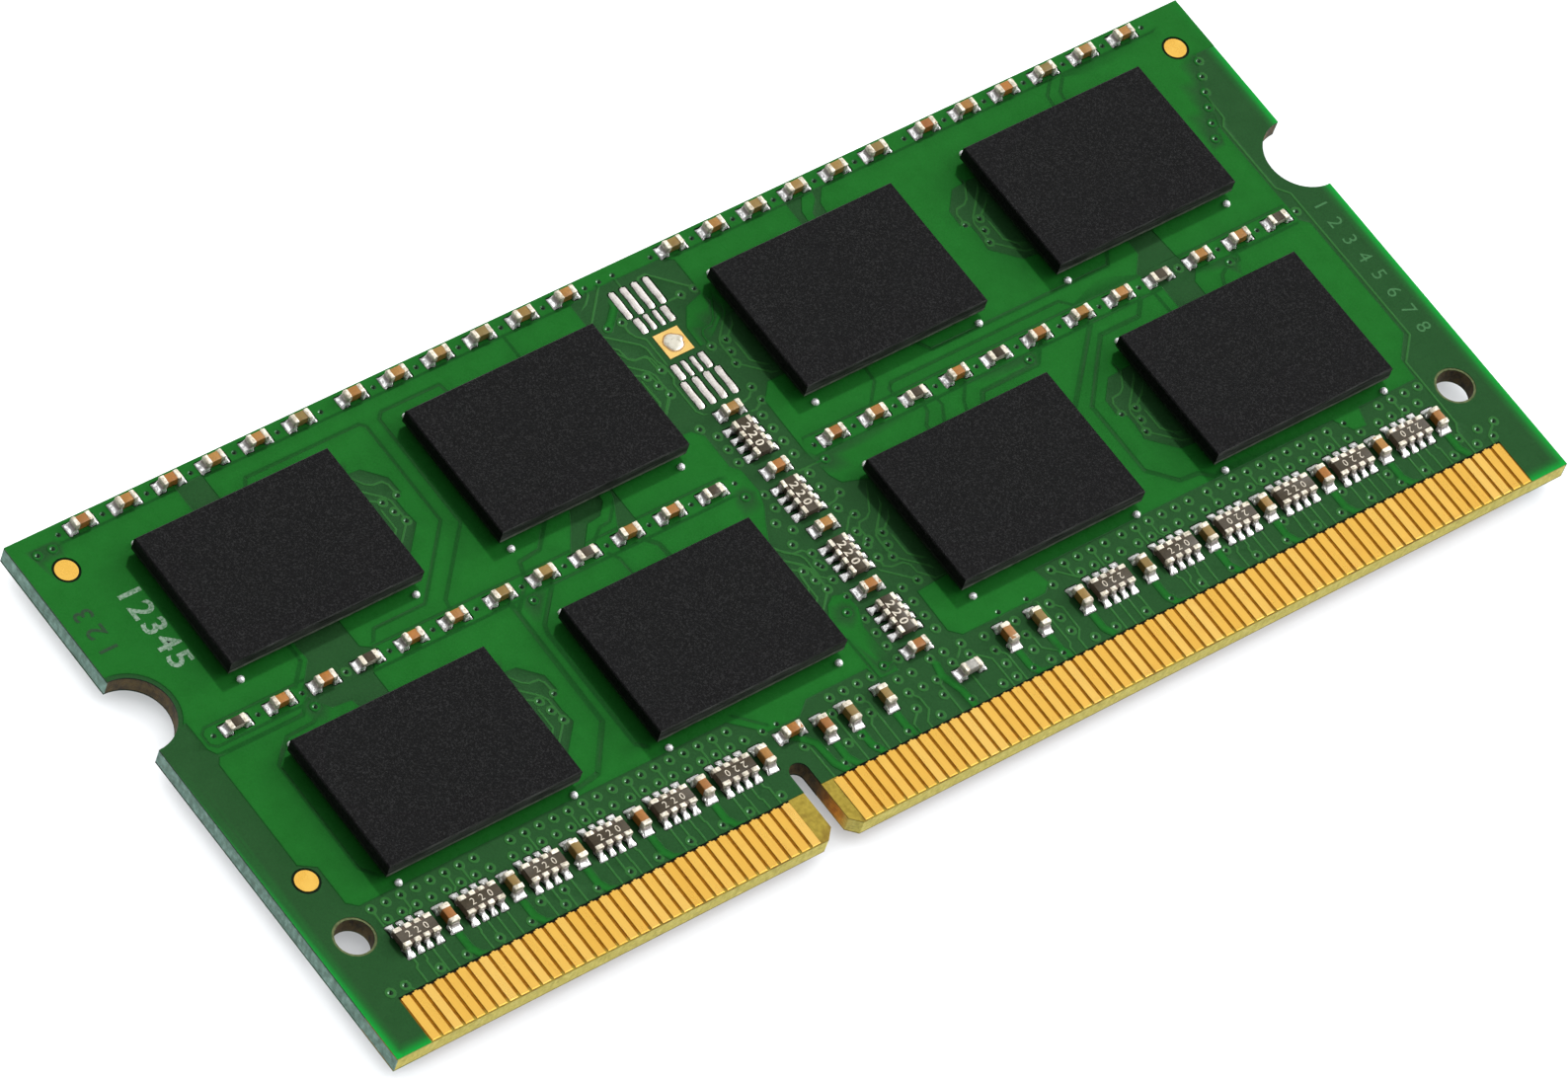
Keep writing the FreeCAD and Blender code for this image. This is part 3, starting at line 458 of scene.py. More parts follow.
def distance_to(points, segments, reach=1.0):
    """Distance from each point to the nearest segment; points further off than the reach stay at it."""
    best = np.full(len(points), reach)
    for a, b in segments:
        low, high = np.minimum(a, b) - reach, np.maximum(a, b) + reach
        near = np.flatnonzero(((points >= low) & (points <= high)).all(1))
        if not len(near):
            continue
        along = b - a
        offset = points[near] - a
        share = np.clip(offset @ along / max(along @ along, 1e-12), 0, 1)
        distance = np.linalg.norm(offset - share[:, None] * along, axis=1)
        best[near] = np.minimum(best[near], distance)
    return best


def inside(points, polygon):
    """Which points lie inside a polygon, by the number of edges to their right."""
    x, y = points.T
    result = np.zeros(len(points), bool)
    for (ax, ay), (bx, by) in zip(polygon, polygon[1:] + polygon[:1]):
        crosses = (ay > y) != (by > y)
        at = ax + (y - ay) / np.where(by == ay, 1e-12, by - ay) * (bx - ax)
        result ^= crosses & (x < at)
    return result


class Copper:
    """What is copper on one face, as a signed distance: negative inside the copper."""

    def __init__(self, traces, strips, vias, ringed, zones):
        self.zones = [(zone, segments_of(zone, True)) for zone in zones]
        self.gaps = [(width / 2, segments_of(points)) for width, points in GAPS]
        self.traces = [segment for points in traces for segment in segments_of(points)]
        self.strips = [segment for points in strips for segment in segments_of(points)]
        self.vias = np.array(vias + ringed)
        self.ringed = np.array(ringed)

    def via_distance(self, points, places):
        """Distance to the nearest of some round places, or 1 beyond their reach."""
        best = np.full(len(points), 1.0)
        for place in places:
            near = np.flatnonzero((np.abs(points - place) < VIA_REACH).all(1))
            best[near] = np.minimum(best[near], np.linalg.norm(points[near] - place, axis=1))
        return best

    def distance(self, points):
        """(depth outside the copper, depth outside the poured areas, distance to a via centre)."""
        pour = np.full(len(points), -1.0)
        for zone, segments in self.zones:
            away = distance_to(points, segments)
            pour = np.maximum(pour, np.where(inside(points, zone), away, -away))
        for half, segments in self.gaps:
            pour = np.maximum(pour, half - distance_to(points, segments))
        pour = np.minimum(pour, distance_to(points, self.strips) - STRIP_WIDTH / 2)
        pads = self.via_distance(points, self.vias)
        depth = np.maximum(pour, VIA_PAD + RING_CLEAR - self.via_distance(points, self.ringed))
        lane = distance_to(points, self.traces)
        depth = np.minimum(np.maximum(depth, TRACE_WIDTH / 2 + TRACE_CLEAR - lane), lane - TRACE_WIDTH / 2)
        return np.minimum(depth, pads - VIA_PAD), pour, pads

    def outlines(self):
        """Open lines along both edges of every step, which the sheet's triangles then follow."""
        lines = []
        for _, segments in self.zones:
            lines += beside(segments, (0.0, SLOPE, -SLOPE))
        for half, segments in self.gaps:
            lines += beside(segments, (half, -half, half + SLOPE, -half - SLOPE))
        for half, segments in ((TRACE_WIDTH / 2, self.traces), (STRIP_WIDTH / 2, self.strips)):
            lines += beside(segments, (0.0, half, -half, half + SLOPE, -half - SLOPE))
        return lines


def beside(segments, offsets):
    """Copies of the segments, moved sideways by each offset."""
    copies = []
    for a, b in segments:
        along = b - a
        side = np.array([-along[1], along[0]]) / max(np.linalg.norm(along), 1e-9)
        copies += [(a + side * offset, b + side * offset) for offset in offsets]
    return copies


# ---- the solder mask sheet ----------------------------------------------------------------

def outline():
    """The module's outline, with its latch notches and key slot, counter-clockwise."""
    half_key = KEY_WIDTH / 2
    slot_top = KEY_DEPTH - half_key
    points = [(-HALF_LENGTH, 0.0), (KEY_X - half_key - KEY_LEAD_IN, 0.0), (KEY_X - half_key, KEY_LEAD_IN)]
    points += circle(KEY_X, slot_top, half_key, 12, math.pi, -math.pi)
    points += [(KEY_X + half_key, slot_top), (KEY_X + half_key, KEY_LEAD_IN),
               (KEY_X + half_key + KEY_LEAD_IN, 0.0), (HALF_LENGTH, 0.0)]
    points += circle(HALF_LENGTH, NOTCH_Y, NOTCH_RADIUS, 24, -math.pi / 2, -math.pi)
    points += [(HALF_LENGTH, NOTCH_Y + NOTCH_RADIUS), (HALF_LENGTH, BOARD_HEIGHT)]
    points += [(-HALF_LENGTH, BOARD_HEIGHT)]
    points += circle(-HALF_LENGTH, NOTCH_Y, NOTCH_RADIUS, 24, math.pi / 2, -math.pi)
    return points + [(-HALF_LENGTH, NOTCH_Y - NOTCH_RADIUS)]


def window(low, high):
    """A mask opening with cut corners round a land."""
    x0, y0 = low[0] - LAND_GAP, low[1] - LAND_GAP
    x1, y1 = high[0] + LAND_GAP, high[1] + LAND_GAP
    cut = WINDOW_CORNER
    return [(x0 + cut, y0), (x1 - cut, y0), (x1, y0 + cut), (x1, y1 - cut),
            (x1 - cut, y1), (x0 + cut, y1), (x0, y1 - cut), (x0, y0 + cut)]


def round_windows():
    """Openings over the fiducials and the mask pulled back round the two holes."""
    openings = [circle(side * HOLE_X, HOLE_Y, HOLE_RADIUS + HOLE_PULLBACK, 36) for side in (-1, 1)]
    for _, low, high in solids("fiducials")[:FIDUCIALS_PER_FACE]:
        middle = (low + high) / 2
        openings.append(circle(middle[0], middle[1], (high[0] - low[0]) / 2 + FIDUCIAL_GAP, 32))
    return openings


# (radius, corners) of the rings of points that shape each via.
VIA_RINGS = ((0.035, 8), (0.07, 10), (0.11, 12), (VIA_HOLE, 12), (VIA_PAD, 12), (VIA_PAD + SLOPE, 12))
GRID_STEP = 0.8
CDT_EPSILON = 1e-5
EDGE_SHADE = 1.3             # the dark line along a copper edge, in widths of the slope
DISH_START = 0.01            # further in than this is a via's dish: 0 at its rim, 1 at its middle
RIM_LIT = 0.02               # the light stays full this far in from the board's edge
LEFT, RIGHT = np.array([-HALF_LENGTH, 0.0]), np.array([HALF_LENGTH, 0.0])
UP = np.array([0.0, BOARD_HEIGHT])
LIT_SHARE = 0.35             # of the left side, from the contact edge up
RIM_SIDES = [(LEFT, RIGHT), (RIGHT, RIGHT + UP), (LEFT, LEFT + UP * LIT_SHARE)]   # light glows through here


def sheet_lines(copper, windows, edge):
    """Points and edges that the sheet's triangles must follow."""
    points, edges = [], []

    def loop(corners):
        first = len(points)
        points.extend(corners)
        edges.extend((first + i, first + (i + 1) % len(corners)) for i in range(len(corners)))

    for corners in [edge] + windows:
        loop(corners)
    rim_offsets = (-RIM_WIDTH + PLANE_EDGE_BLUR, -RIM_WIDTH - PLANE_EDGE_BLUR,
                   RIM_WIDTH - PLANE_EDGE_BLUR, RIM_WIDTH + PLANE_EDGE_BLUR)
    for a, b in copper.outlines() + beside(segments_of(edge, True), rim_offsets):
        edges.append((len(points), len(points) + 1))
        points.extend([tuple(a), tuple(b)])
    for x, y in copper.vias:
        points.append((x, y))
        for radius, count in VIA_RINGS:
            loop(circle(x, y, radius, count))
    for y in np.arange(GRID_STEP / 2, BOARD_HEIGHT, GRID_STEP):
        points.extend((x, y) for x in np.arange(-HALF_LENGTH + GRID_STEP / 2, HALF_LENGTH, GRID_STEP))
    return points, edges


def mask_sheet(face, windows, copper):
    """The solder mask of one face: flat over copper, lower over bare laminate, dished at each via."""
    edge = outline()
    x0, x1 = BARE_LOW_X, BARE_HIGH_X
    windows = windows + [[(x0, -1), (x1, -1), (x1, MASK_EDGE_Y), (x0, MASK_EDGE_Y)]]
    points, edges = sheet_lines(copper, windows, edge)
    flat, _, triangles, _, _, _ = delaunay_2d_cdt([Vector(p) for p in points], edges, [], 0, CDT_EPSILON)
    flat = np.array([tuple(p) for p in flat])
    triangles = np.array(triangles)
    centres = flat[triangles].mean(1)
    keep = inside(centres, edge)
    for corners in windows:
        near = np.flatnonzero(((centres > np.min(corners, 0)) & (centres < np.max(corners, 0))).all(1))
        keep[near[inside(centres[near], corners)]] = False
    triangles = triangles[keep]
    used, triangles = np.unique(triangles, return_inverse=True)
    triangles = triangles.reshape(-1, 3)
    flat = flat[used]

    depth, pour, pads = copper.distance(flat)
    share = 1 - smooth_step(depth, 0.0, SLOPE)
    poured = 1 - smooth_step(pour, 0.0, SLOPE)
    dish = np.clip(1 - pads / VIA_HOLE, 0, 1)
    z = BARE_Z + (COPPER_Z - BARE_Z) * share - VIA_DEPTH * smooth_step(dish, 0.0, 1.0)
    rim = 1 - smooth_step(distance_to(flat, RIM_SIDES), RIM_LIT, RIM_WIDTH)
    near_edge = np.clip(1 - np.abs(depth) / (EDGE_SHADE * SLOPE), 0, 1) * (pour < 2 * SLOPE)
    values = {"copper": share * poured, "line": share * (1 - poured), "rim": rim, "dish": dish,
              "edge": near_edge}
    mesh = with_walls(face, flat, z, triangles, values)
    in_dish = np.zeros(len(mesh.polygons), bool)
    in_dish[:len(triangles)] = (dish[triangles] > DISH_START).any(1)
    return mesh, in_dish


def split_off(mesh, name, chosen):
    """Moves the chosen faces of a mesh to a new one."""
    other = mesh.copy()
    other.name = name
    for part, unwanted in ((mesh, chosen), (other, ~chosen)):
        shape = bmesh.new()
        shape.from_mesh(part)
        shape.faces.ensure_lookup_table()
        bmesh.ops.delete(shape, geom=[shape.faces[i] for i in np.flatnonzero(unwanted)], context="FACES")
        shape.to_mesh(part)
        shape.free()
    return other


def with_walls(face, flat, z, triangles, values):
    """The sheet as a mesh, with a wall down to the board along every open edge."""
    directed = triangles[:, [0, 1, 1, 2, 2, 0]].reshape(-1, 2)
    _, first, counts = np.unique(np.sort(directed, axis=1), axis=0, return_index=True, return_counts=True)
    open_sides = directed[first[counts == 1]]
    rim_points = np.unique(open_sides)
    lower = {int(p): len(flat) + i for i, p in enumerate(rim_points)}
    walls = [(int(b), int(a), lower[int(a)], lower[int(b)]) for a, b in open_sides]
    top = np.column_stack([flat, z])
    bottom = np.column_stack([flat[rim_points], np.full(len(rim_points), -OUTER_LAYER)])
    faces = [tuple(corners)[::OUTWARDS[face]] for corners in triangles.tolist() + walls]
    mesh = bpy.data.meshes.new("solder_mask_sheet_" + face)
    mesh.from_pydata(to_frame(np.concatenate([top, bottom]), face).tolist(), [], faces)
    for name, value in values.items():
        data = np.concatenate([value, value[rim_points]])
        mesh.attributes.new(name, "FLOAT", "POINT").data.foreach_set("value", data)
    return mesh


# ---- solder -------------------------------------------------------------------------------

FILM = 0.035                 # solder between a land and what stands on it
CHIP_JOINT = dict(back=0.20, reach=0.31, spread=0.10, climb=0.26)
NETWORK_JOINT = dict(back=0.20, reach=0.44, spread=0.03, climb=0.27, waist=0.42)
LEAD_JOINT = dict(back=0.55, reach=0.30, spread=0.07, climb=0.10)


def fillet(part_half, back, reach, spread, climb, waist=0.12):
    """Solder on a land, climbing a terminal whose outer face is at u = 0 and half as wide as part_half.

    u runs outwards along the land and v across it. The rim is convex, the climb is hollow, the
    waist is narrower than the foot, and lobes swell at the corners as surface tension draws them."""
    s, t = unit_grid(16, 13)
    half_width = part_half + spread * rng.uniform(0.85, 1.15)
    reach = reach * rng.uniform(0.92, 1.04)
    u = (reach - back) / 2 + s * np.sqrt(1 - 0.14 * t * t) * (reach + back) / 2
    v = t * np.where(s < 0, np.sqrt(1 - 0.24 * s * s), 1 - 0.05 * s * s) * half_width
    v *= 1 - 0.06 * np.sin(3.0 * s + rng.uniform(0, 3))
    v *= 1 - waist * np.exp(-((u - 0.25 * reach) / (0.42 * reach)) ** 2)
    edge = np.maximum(np.abs(s), np.abs(t))
    rim = np.sqrt(1 - edge ** 5)
    outwards = np.clip(u / reach, 0, 1)
    sideways = np.clip((np.abs(v) - part_half) / max(half_width - part_half, 1e-6), 0, 1)
    hollow = (1 - np.clip(np.hypot(outwards, 0.7 * sideways), 0, 1)) ** 2.4
    tilt = rng.uniform(-0.3, 0.3)
    swell = rng.uniform(0.02, 0.05) * np.exp(-((s - 0.66) ** 2 + (t - tilt) ** 2) / 0.16)
    for side in (-1, 1):
        swell += rng.uniform(0.03, 0.08) * np.exp(-((s - 0.3) ** 2 / 0.10 + (t - 0.8 * side) ** 2 / 0.05))
        swell += rng.uniform(0.02, 0.06) * np.exp(-((s + 0.55) ** 2 / 0.08 + (t - 0.85 * side) ** 2 / 0.05))
    z = -OUTER_LAYER + (FILM + 0.04 + swell) * rim + climb * rng.uniform(0.85, 1.1) * hollow * rim
    return grid_shape(u, v, z)


def turned(points, outwards):
    """Points with u along +X, turned so that u runs along a unit vector."""
    c, s = outwards
    x, y, z = points.T
    return np.stack([c * x - s * y, s * x + c * y, z], 1)


def joints_for(terminals, bodies, along_body, joint):
    """(face, origin, outward direction, half width, joint sizes) for each terminal of some parts."""
    found = []
    for face, low, high in terminals:
        middle = (low + high)[:2] / 2
        near = min((b for b in bodies if b[0] == face),
                   key=lambda b: np.linalg.norm((b[1] + b[2])[:2] / 2 - middle))
        size = (near[2] - near[1])[:2]
        long_axis = 0 if size[0] > size[1] else 1
        axis = long_axis if along_body else 1 - long_axis
        outwards = np.zeros(2)
        outwards[axis] = math.copysign(1, (middle - (near[1] + near[2])[:2] / 2)[axis])
        origin = middle.copy()
        origin[axis] = high[axis] if outwards[axis] > 0 else low[axis]
        found.append((face, origin, outwards, (high - low)[1 - axis] / 2, joint))
    return found


def joint_window(origin, outwards, half, joint):
    """The mask opening round one joint."""
    corners = np.array([[-joint["back"], -half - joint["spread"]], [joint["reach"], half + joint["spread"]]])
    corners = turned(np.column_stack([corners, [0, 0]]), outwards)[:, :2] + origin
    return window(corners.min(0), corners.max(0))


def pillow(low, high, height, nub=0.0):
    """Solder or tin that has set on a bare land, thicker in the middle, with a drawn-out tip."""
    s, t = unit_grid(13, 7)
    centre, half = (low + high)[:2] / 2, (high - low)[:2] / 2
    x = centre[0] + half[0] * t * np.sqrt(1 - 0.08 * s * s) * (1 + 0.04 * rng.normal() * np.sin(4 * s + 1))
    tip = (np.abs(s) > 0.99) * (t == 0)
    y = centre[1] + half[1] * s * np.sqrt(1 - 0.06 * t * t) + nub * np.sign(nub * s) * tip
    x += 0.008 * np.sin(5 * s + rng.uniform(0, 6))
    rim = np.sqrt(1 - np.maximum(np.abs(s), np.abs(t)) ** 4)
    z = -OUTER_LAYER + (OUTER_LAYER + height * (1 + 0.25 * np.sin(3 * s + rng.uniform(0, 6)))) * rim
    return grid_shape(x, y, z)


def dome_radius(angle):
    lump = 0.07 * math.exp(-((angle - 0.1) / 0.35) ** 2)
    return 0.48 + lump + 0.012 * math.sin(5 * angle) + 0.010 * math.sin(3 * angle + 1)


def solder_dome(centre):
    """The uneven dome on the thermal pad: a round of solder with a lump drawn to one side."""
    rings, count = 9, 40
    points = []
    for ring in range(rings):
        share = ring / (rings - 1)
        for i in range(count):
            angle = 2 * math.pi * i / count
            reach = share * dome_radius(angle)
            lump = math.exp(-((share - 0.75) / 0.2) ** 2 - ((angle - 0.3) / 0.4) ** 2) * (1 - share)
            height = 0.07 * math.sqrt(1 - share ** 2.5) + 0.05 * lump
            points.append((centre[0] + reach * math.cos(angle), centre[1] + reach * math.sin(angle), height))
    return points, ring_faces(rings, count)


def flux_ring(centre):
    """A low brown line of flux round the dome."""
    rings, count = ((-0.02, 0.012), (0.02, 0.014), (0.05, 0.001)), 48
    points = []
    for grow, z in rings:
        for i in range(count):
            angle = 2 * math.pi * i / count
            radius = dome_radius(angle) + grow + 0.008 * math.sin(7 * angle)
            points.append((centre[0] + radius * math.cos(angle), centre[1] + radius * math.sin(angle), z))
    return points, ring_faces(len(rings), count)


# ---- contacts -----------------------------------------------------------------------------

CONTACT_CLIP = 0.025
CONTACT_STEPS = ((0.0, -OUTER_LAYER), (0.004, -0.006), (0.018, 0.0))   # (inset, z) up the etched side
NECK_HALF = 0.07
NECK_LENGTH = 0.05


def contact(low, high):
    """A gold finger with sloping etched sides, clipped inner corners and the neck of its trace."""
    x0, y0, x1, y1 = low[0], low[1], high[0], high[1]
    middle = (x0 + x1) / 2
    plan = [(x0, y0), (x1, y0), (x1, y1 - CONTACT_CLIP), (x1 - CONTACT_CLIP, y1), (middle + NECK_HALF, y1),
            (middle + NECK_HALF, y1 + NECK_LENGTH), (middle - NECK_HALF, y1 + NECK_LENGTH),
            (middle - NECK_HALF, y1), (x0 + CONTACT_CLIP, y1), (x0, y1 - CONTACT_CLIP)]
    count = len(plan)
    points = []
    for inset, z in CONTACT_STEPS:
        for x, y in plan:
            shift = min(inset, abs(x - middle))
            points.append((x - math.copysign(shift, x - middle), y + (inset if y == y0 else -inset), z))
    top = len(points) - count
    return points, flipped(ring_faces(len(CONTACT_STEPS), count)) + [tuple(range(top, top + count))]


# ---- materials ----------------------------------------------------------------------------

class Look:
    """A node material built up by short calls; distances are in millimetres of object space."""

    def __init__(self, name, rough=0.5, metal=0.0, specular=0.5):
        self.material = bpy.data.materials.new(name)
        self.material.use_nodes = True
        self.tree = self.material.node_tree
        self.shader = self.tree.nodes["Principled BSDF"]
        self.shader.inputs["Roughness"].default_value = rough
        self.shader.inputs["Metallic"].default_value = metal
        self.shader.inputs["Specular IOR Level"].default_value = specular
        self.place = self.node("ShaderNodeTexCoord").outputs["Object"]

    def node(self, kind, **settings):
        made = self.tree.nodes.new(kind)
        for key, value in settings.items():
            setattr(made, key, value)
        return made

    def put(self, socket, value):
        if hasattr(value, "is_linked"):
            self.tree.links.new(value, socket)
        else:
            socket.default_value = value

    def noise(self, size, detail=3.0, stretch=None, roughness=0.55):
        texture = self.node("ShaderNodeTexNoise")
        place = self.place
        if stretch:
            mapping = self.node("ShaderNodeMapping")
            self.put(mapping.inputs["Vector"], self.place)
            mapping.inputs["Scale"].default_value = stretch
            place = mapping.outputs["Vector"]
        self.put(texture.inputs["Vector"], place)
        texture.inputs["Scale"].default_value = 1 / (size * MM)
        texture.inputs["Detail"].default_value = detail
        texture.inputs["Roughness"].default_value = roughness
        return texture.outputs["Fac"]

    def given(self, name):
        return self.node("ShaderNodeAttribute", attribute_name=name).outputs["Fac"]

    def axis(self, name):
        split = self.node("ShaderNodeSeparateXYZ")
        self.put(split.inputs[0], self.place)
        return split.outputs[name]

    def long_wall(self):
        """1 on the walls that face along Y, 0 on the others and on level faces."""
        facing = self.node("ShaderNodeSeparateXYZ")
        self.put(facing.inputs[0], self.node("ShaderNodeNewGeometry").outputs["Normal"])
        return self.span(self.maths("ABSOLUTE", facing.outputs["Y"]), 0.5, 0.9)

    def span(self, value, low, high, to_low=0.0, to_high=1.0):
        """A value taken from one range to another, smoothly and without overshoot."""
        step = self.node("ShaderNodeMapRange", interpolation_type="SMOOTHSTEP")
        self.put(step.inputs["Value"], value)
        for key, number in (("From Min", low), ("From Max", high), ("To Min", to_low), ("To Max", to_high)):
            step.inputs[key].default_value = number
        return step.outputs["Result"]

    def maths(self, operation, a, b=0.0):
        made = self.node("ShaderNodeMath", operation=operation)
        self.put(made.inputs[0], a)
        self.put(made.inputs[1], b)
        return made.outputs[0]

    def mix(self, factor, a, b, blend="MIX"):
        made = self.node("ShaderNodeMix", data_type="RGBA", blend_type=blend)
        self.put(made.inputs["Factor"], factor)
        self.put(made.inputs["A"], colour(a))
        self.put(made.inputs["B"], colour(b))
        return made.outputs["Result"]

    def ramp(self, value, stops):
        made = self.node("ShaderNodeValToRGB")
        self.put(made.inputs["Fac"], value)
        elements = made.color_ramp.elements
        while len(elements) < len(stops):
            elements.new(0.5)
        for element, (position, shade) in zip(elements, stops):
            element.position = position
            element.color = colour(shade)
        return made.outputs["Color"]

    def tones(self, value, low, high, dark, light):
        """Two shades, with an even change between two values."""
        return self.ramp(value, [(low, dark), (high, light)])

    def speckled(self, value, low, high, most, shade, other):
        """A shade with up to the given share of another where a value is high."""
        return self.mix(self.span(value, low, high, 0.0, most), shade, other)

    def from_edge(self, low, high, to_low=0.0, to_high=1.0):
        """A change over a range of distances from the contact edge."""
        return self.span(self.axis("Y"), (BOARD_LOW.y + low) * MM, (BOARD_LOW.y + high) * MM, to_low, to_high)

    def above_board(self, low, high, to_low=0.0, to_high=1.0):
        """A change over a range of heights above the nearer face of the board, for parts on either side."""
        from_middle = self.maths("ABSOLUTE", self.maths("SUBTRACT", self.axis("Z"), MIDDLE_Z * MM))
        half_thickness = (SURFACE_Z["front"] - SURFACE_Z["back"]) / 2
        height = self.maths("SUBTRACT", from_middle, half_thickness * MM)
        return self.span(height, low * MM, high * MM, to_low, to_high)

    def bump(self, height, depth, strength=1.0):
        """Relief of the given depth in millimetres."""
        made = self.node("ShaderNodeBump")
        self.put(made.inputs["Height"], height)
        made.inputs["Distance"].default_value = depth * MM
        made.inputs["Strength"].default_value = strength
        if self.shader.inputs["Normal"].is_linked:
            self.put(made.inputs["Normal"], self.shader.inputs["Normal"].links[0].from_socket)
        self.put(self.shader.inputs["Normal"], made.outputs["Normal"])

    def colour_from(self, socket):
        self.put(self.shader.inputs["Base Color"], socket)

    def rough_from(self, value, low, high, to_low, to_high):
        self.put(self.shader.inputs["Roughness"], self.span(value, low, high, to_low, to_high))


def colour(shade):
    """A linear colour from three sRGB values of 0-255; sockets pass straight through."""
    if hasattr(shade, "is_linked"):
        return shade
    linear = [(c / 255 / 12.92) if c <= 10 else ((c / 255 + 0.055) / 1.055) ** 2.4 for c in shade]
    return (*linear, 1.0)


MASK_SPECULAR, DISH_SPECULAR = 0.09, 0.6


def mask_look():
    """Green mask: brighter over copper and along the lit rim, dark along copper edges, and with painted shade
    in the vias' dishes.
    """
    look = Look("solder_mask_green", rough=0.3, specular=MASK_SPECULAR)
    mottle = look.noise(0.9, 4)
    grain = look.noise(0.09, 2)
    bare = look.mix(mottle, (24, 54, 26), (30, 62, 32))
    covered = look.mix(mottle, (16, 75, 20), (22, 87, 28))
    shade = look.mix(look.given("copper"), bare, covered)
    rim = look.maths("MULTIPLY", look.given("rim"), look.span(look.given("copper"), 0.0, 1.0, 1.0, 0.15))
    shade = look.mix(rim, shade, (6, 128, 42))
    shade = look.mix(look.maths("MULTIPLY", look.given("line"), 0.34), shade, (52, 112, 48))
    shade = look.mix(look.maths("MULTIPLY", look.given("edge"), 0.68), shade, (8, 46, 14))
    dish = look.given("dish")
    # painted shade: the vias' dishes are darkened to near black
    shade = look.mix(look.span(dish, 0.0, 0.3), shade, (1, 18, 4))
    look.colour_from(look.speckled(grain, 0.3, 0.75, 0.12, shade, (46, 104, 50)))
    gloss = look.span(dish, 0.0, 0.25, MASK_SPECULAR, DISH_SPECULAR)
    look.put(look.shader.inputs["Specular IOR Level"], gloss)
    look.shader.inputs["Specular Tint"].default_value = (0.5, 1.0, 0.58, 1.0)
    rough = look.span(look.noise(0.5, 3), 0.3, 0.7, 0.24, 0.34)
    rough = look.maths("SUBTRACT", rough, look.span(dish, 0.0, 0.25, 0.0, 0.14))
    look.put(look.shader.inputs["Roughness"], rough)
    look.bump(look.noise(0.12, 3), 0.003)
    look.bump(look.noise(1.6, 2), 0.006)
    return look.material


def mould_look():
    """Black mould compound with a fine speckle, and painted light on the walls that face along Y."""
    look = Look("mould_compound_black", rough=0.6, specular=0.10)
    speckle = look.noise(0.08, 3, roughness=0.6)
    blotch = look.noise(1.8, 3)
    shade = look.ramp(speckle, [(0.36, (8, 8, 8)), (0.5, (12, 12, 12)), (0.66, (34, 34, 34))])
    shade = look.speckled(blotch, 0.3, 0.7, 0.2, shade, (13, 13, 14))
    # painted light: the walls that face along Y get a paler grey than the rest
    painted_lit_walls = look.tones(look.noise(0.3, 4, stretch=(0.25, 1.0, 3.0)), 0.35, 0.65, (26, 28, 26), (66, 68, 65))
    look.colour_from(look.mix(look.long_wall(), shade, painted_lit_walls))
    look.rough_from(speckle, 0.3, 0.7, 0.54, 0.7)
    look.bump(speckle, 0.012)
    return look.material


def package_laminate_look():
    """The packages' own small boards, with painted light on the walls that face along Y and painted shade on
    the rest.
    """
    look = Look("package_laminate", rough=0.5, specular=0.3)
    cloud = look.noise(0.2, 4)
    # painted shade on the ends and level faces, painted light on the walls that face along Y
    painted_shaded_ends = look.tones(cloud, 0.32, 0.68, (10, 14, 10), (22, 28, 20))
    painted_lit_sides = look.tones(cloud, 0.32, 0.68, (64, 70, 62), (100, 106, 94))
    look.colour_from(look.mix(look.long_wall(), painted_shaded_ends, painted_lit_sides))
    look.bump(look.noise(0.07, 3), 0.004)
    return look.material


def gold_look():
    """Gold with faint streaks along the contacts and a few brown stains."""
    look = Look("gold_plating", rough=0.3, metal=1.0)
    streak = look.noise(0.35, 4, stretch=(1.0, 0.25, 1.0))
    stain = look.noise(0.9, 3)
    golds = [(0.0, (244, 190, 84)), (0.5, (248, 197, 92)), (1.0, (251, 204, 106))]
    shade = look.ramp(look.given("tone"), golds)
    look.colour_from(look.speckled(stain, 0.55, 0.8, 0.35, shade, (232, 172, 80)))
    look.rough_from(streak, 0.3, 0.7, 0.26, 0.36)
    look.bump(streak, 0.0004)
    return look.material


def land_tin_look():
    """Tin set on bare lands, clouded with brown."""
    look = Look("land_tin", rough=0.36, metal=0.6)
    cloud = look.noise(0.25, 3)
    look.colour_from(look.speckled(cloud, 0.45, 0.75, 0.6, (206, 200, 194), (150, 140, 128)))
    look.rough_from(cloud, 0.3, 0.7, 0.31, 0.46)
    look.bump(look.noise(0.07, 2), 0.003)
    return look.material


def terminal_look():
    """Matt tin, pale on top, with painted shade that browns it towards the board."""
    look = Look("tinned_terminal", rough=0.48, metal=0.3, specular=0.5)
    cloud = look.noise(0.16, 3)
    shade = look.ramp(cloud, [(0.3, (146, 137, 118)), (0.5, (196, 188, 170)), (0.7, (224, 218, 203))])
    # painted shade: dark brown near the board, fading out by 0.36 mm up
    look.colour_from(look.mix(look.above_board(0.08, 0.36, 0.9, 0.0), shade, (84, 70, 58)))
    look.rough_from(cloud, 0.3, 0.7, 0.4, 0.58)
    look.bump(look.noise(0.05, 2), 0.006)
    return look.material


def joint_look():
    """Reflowed solder, bright on the land, with a painted dark reflection where it climbs."""
    look = Look("solder_bright", rough=0.22, metal=0.7)
    cloud = look.noise(0.25, 3)
    shade = look.speckled(cloud, 0.45, 0.8, 0.35, (245, 244, 242), (176, 164, 150))
    # painted reflection: the solder turns grey-brown as it climbs above the board
    look.colour_from(look.mix(look.above_board(0.09, 0.24, 0.0, 0.8), shade, (112, 98, 86)))
    look.put(look.shader.inputs["Metallic"], look.above_board(0.09, 0.2, 0.7, 0.3))
    look.rough_from(cloud, 0.3, 0.7, 0.15, 0.32)
    look.bump(look.noise(0.09, 3), 0.006)
    return look.material


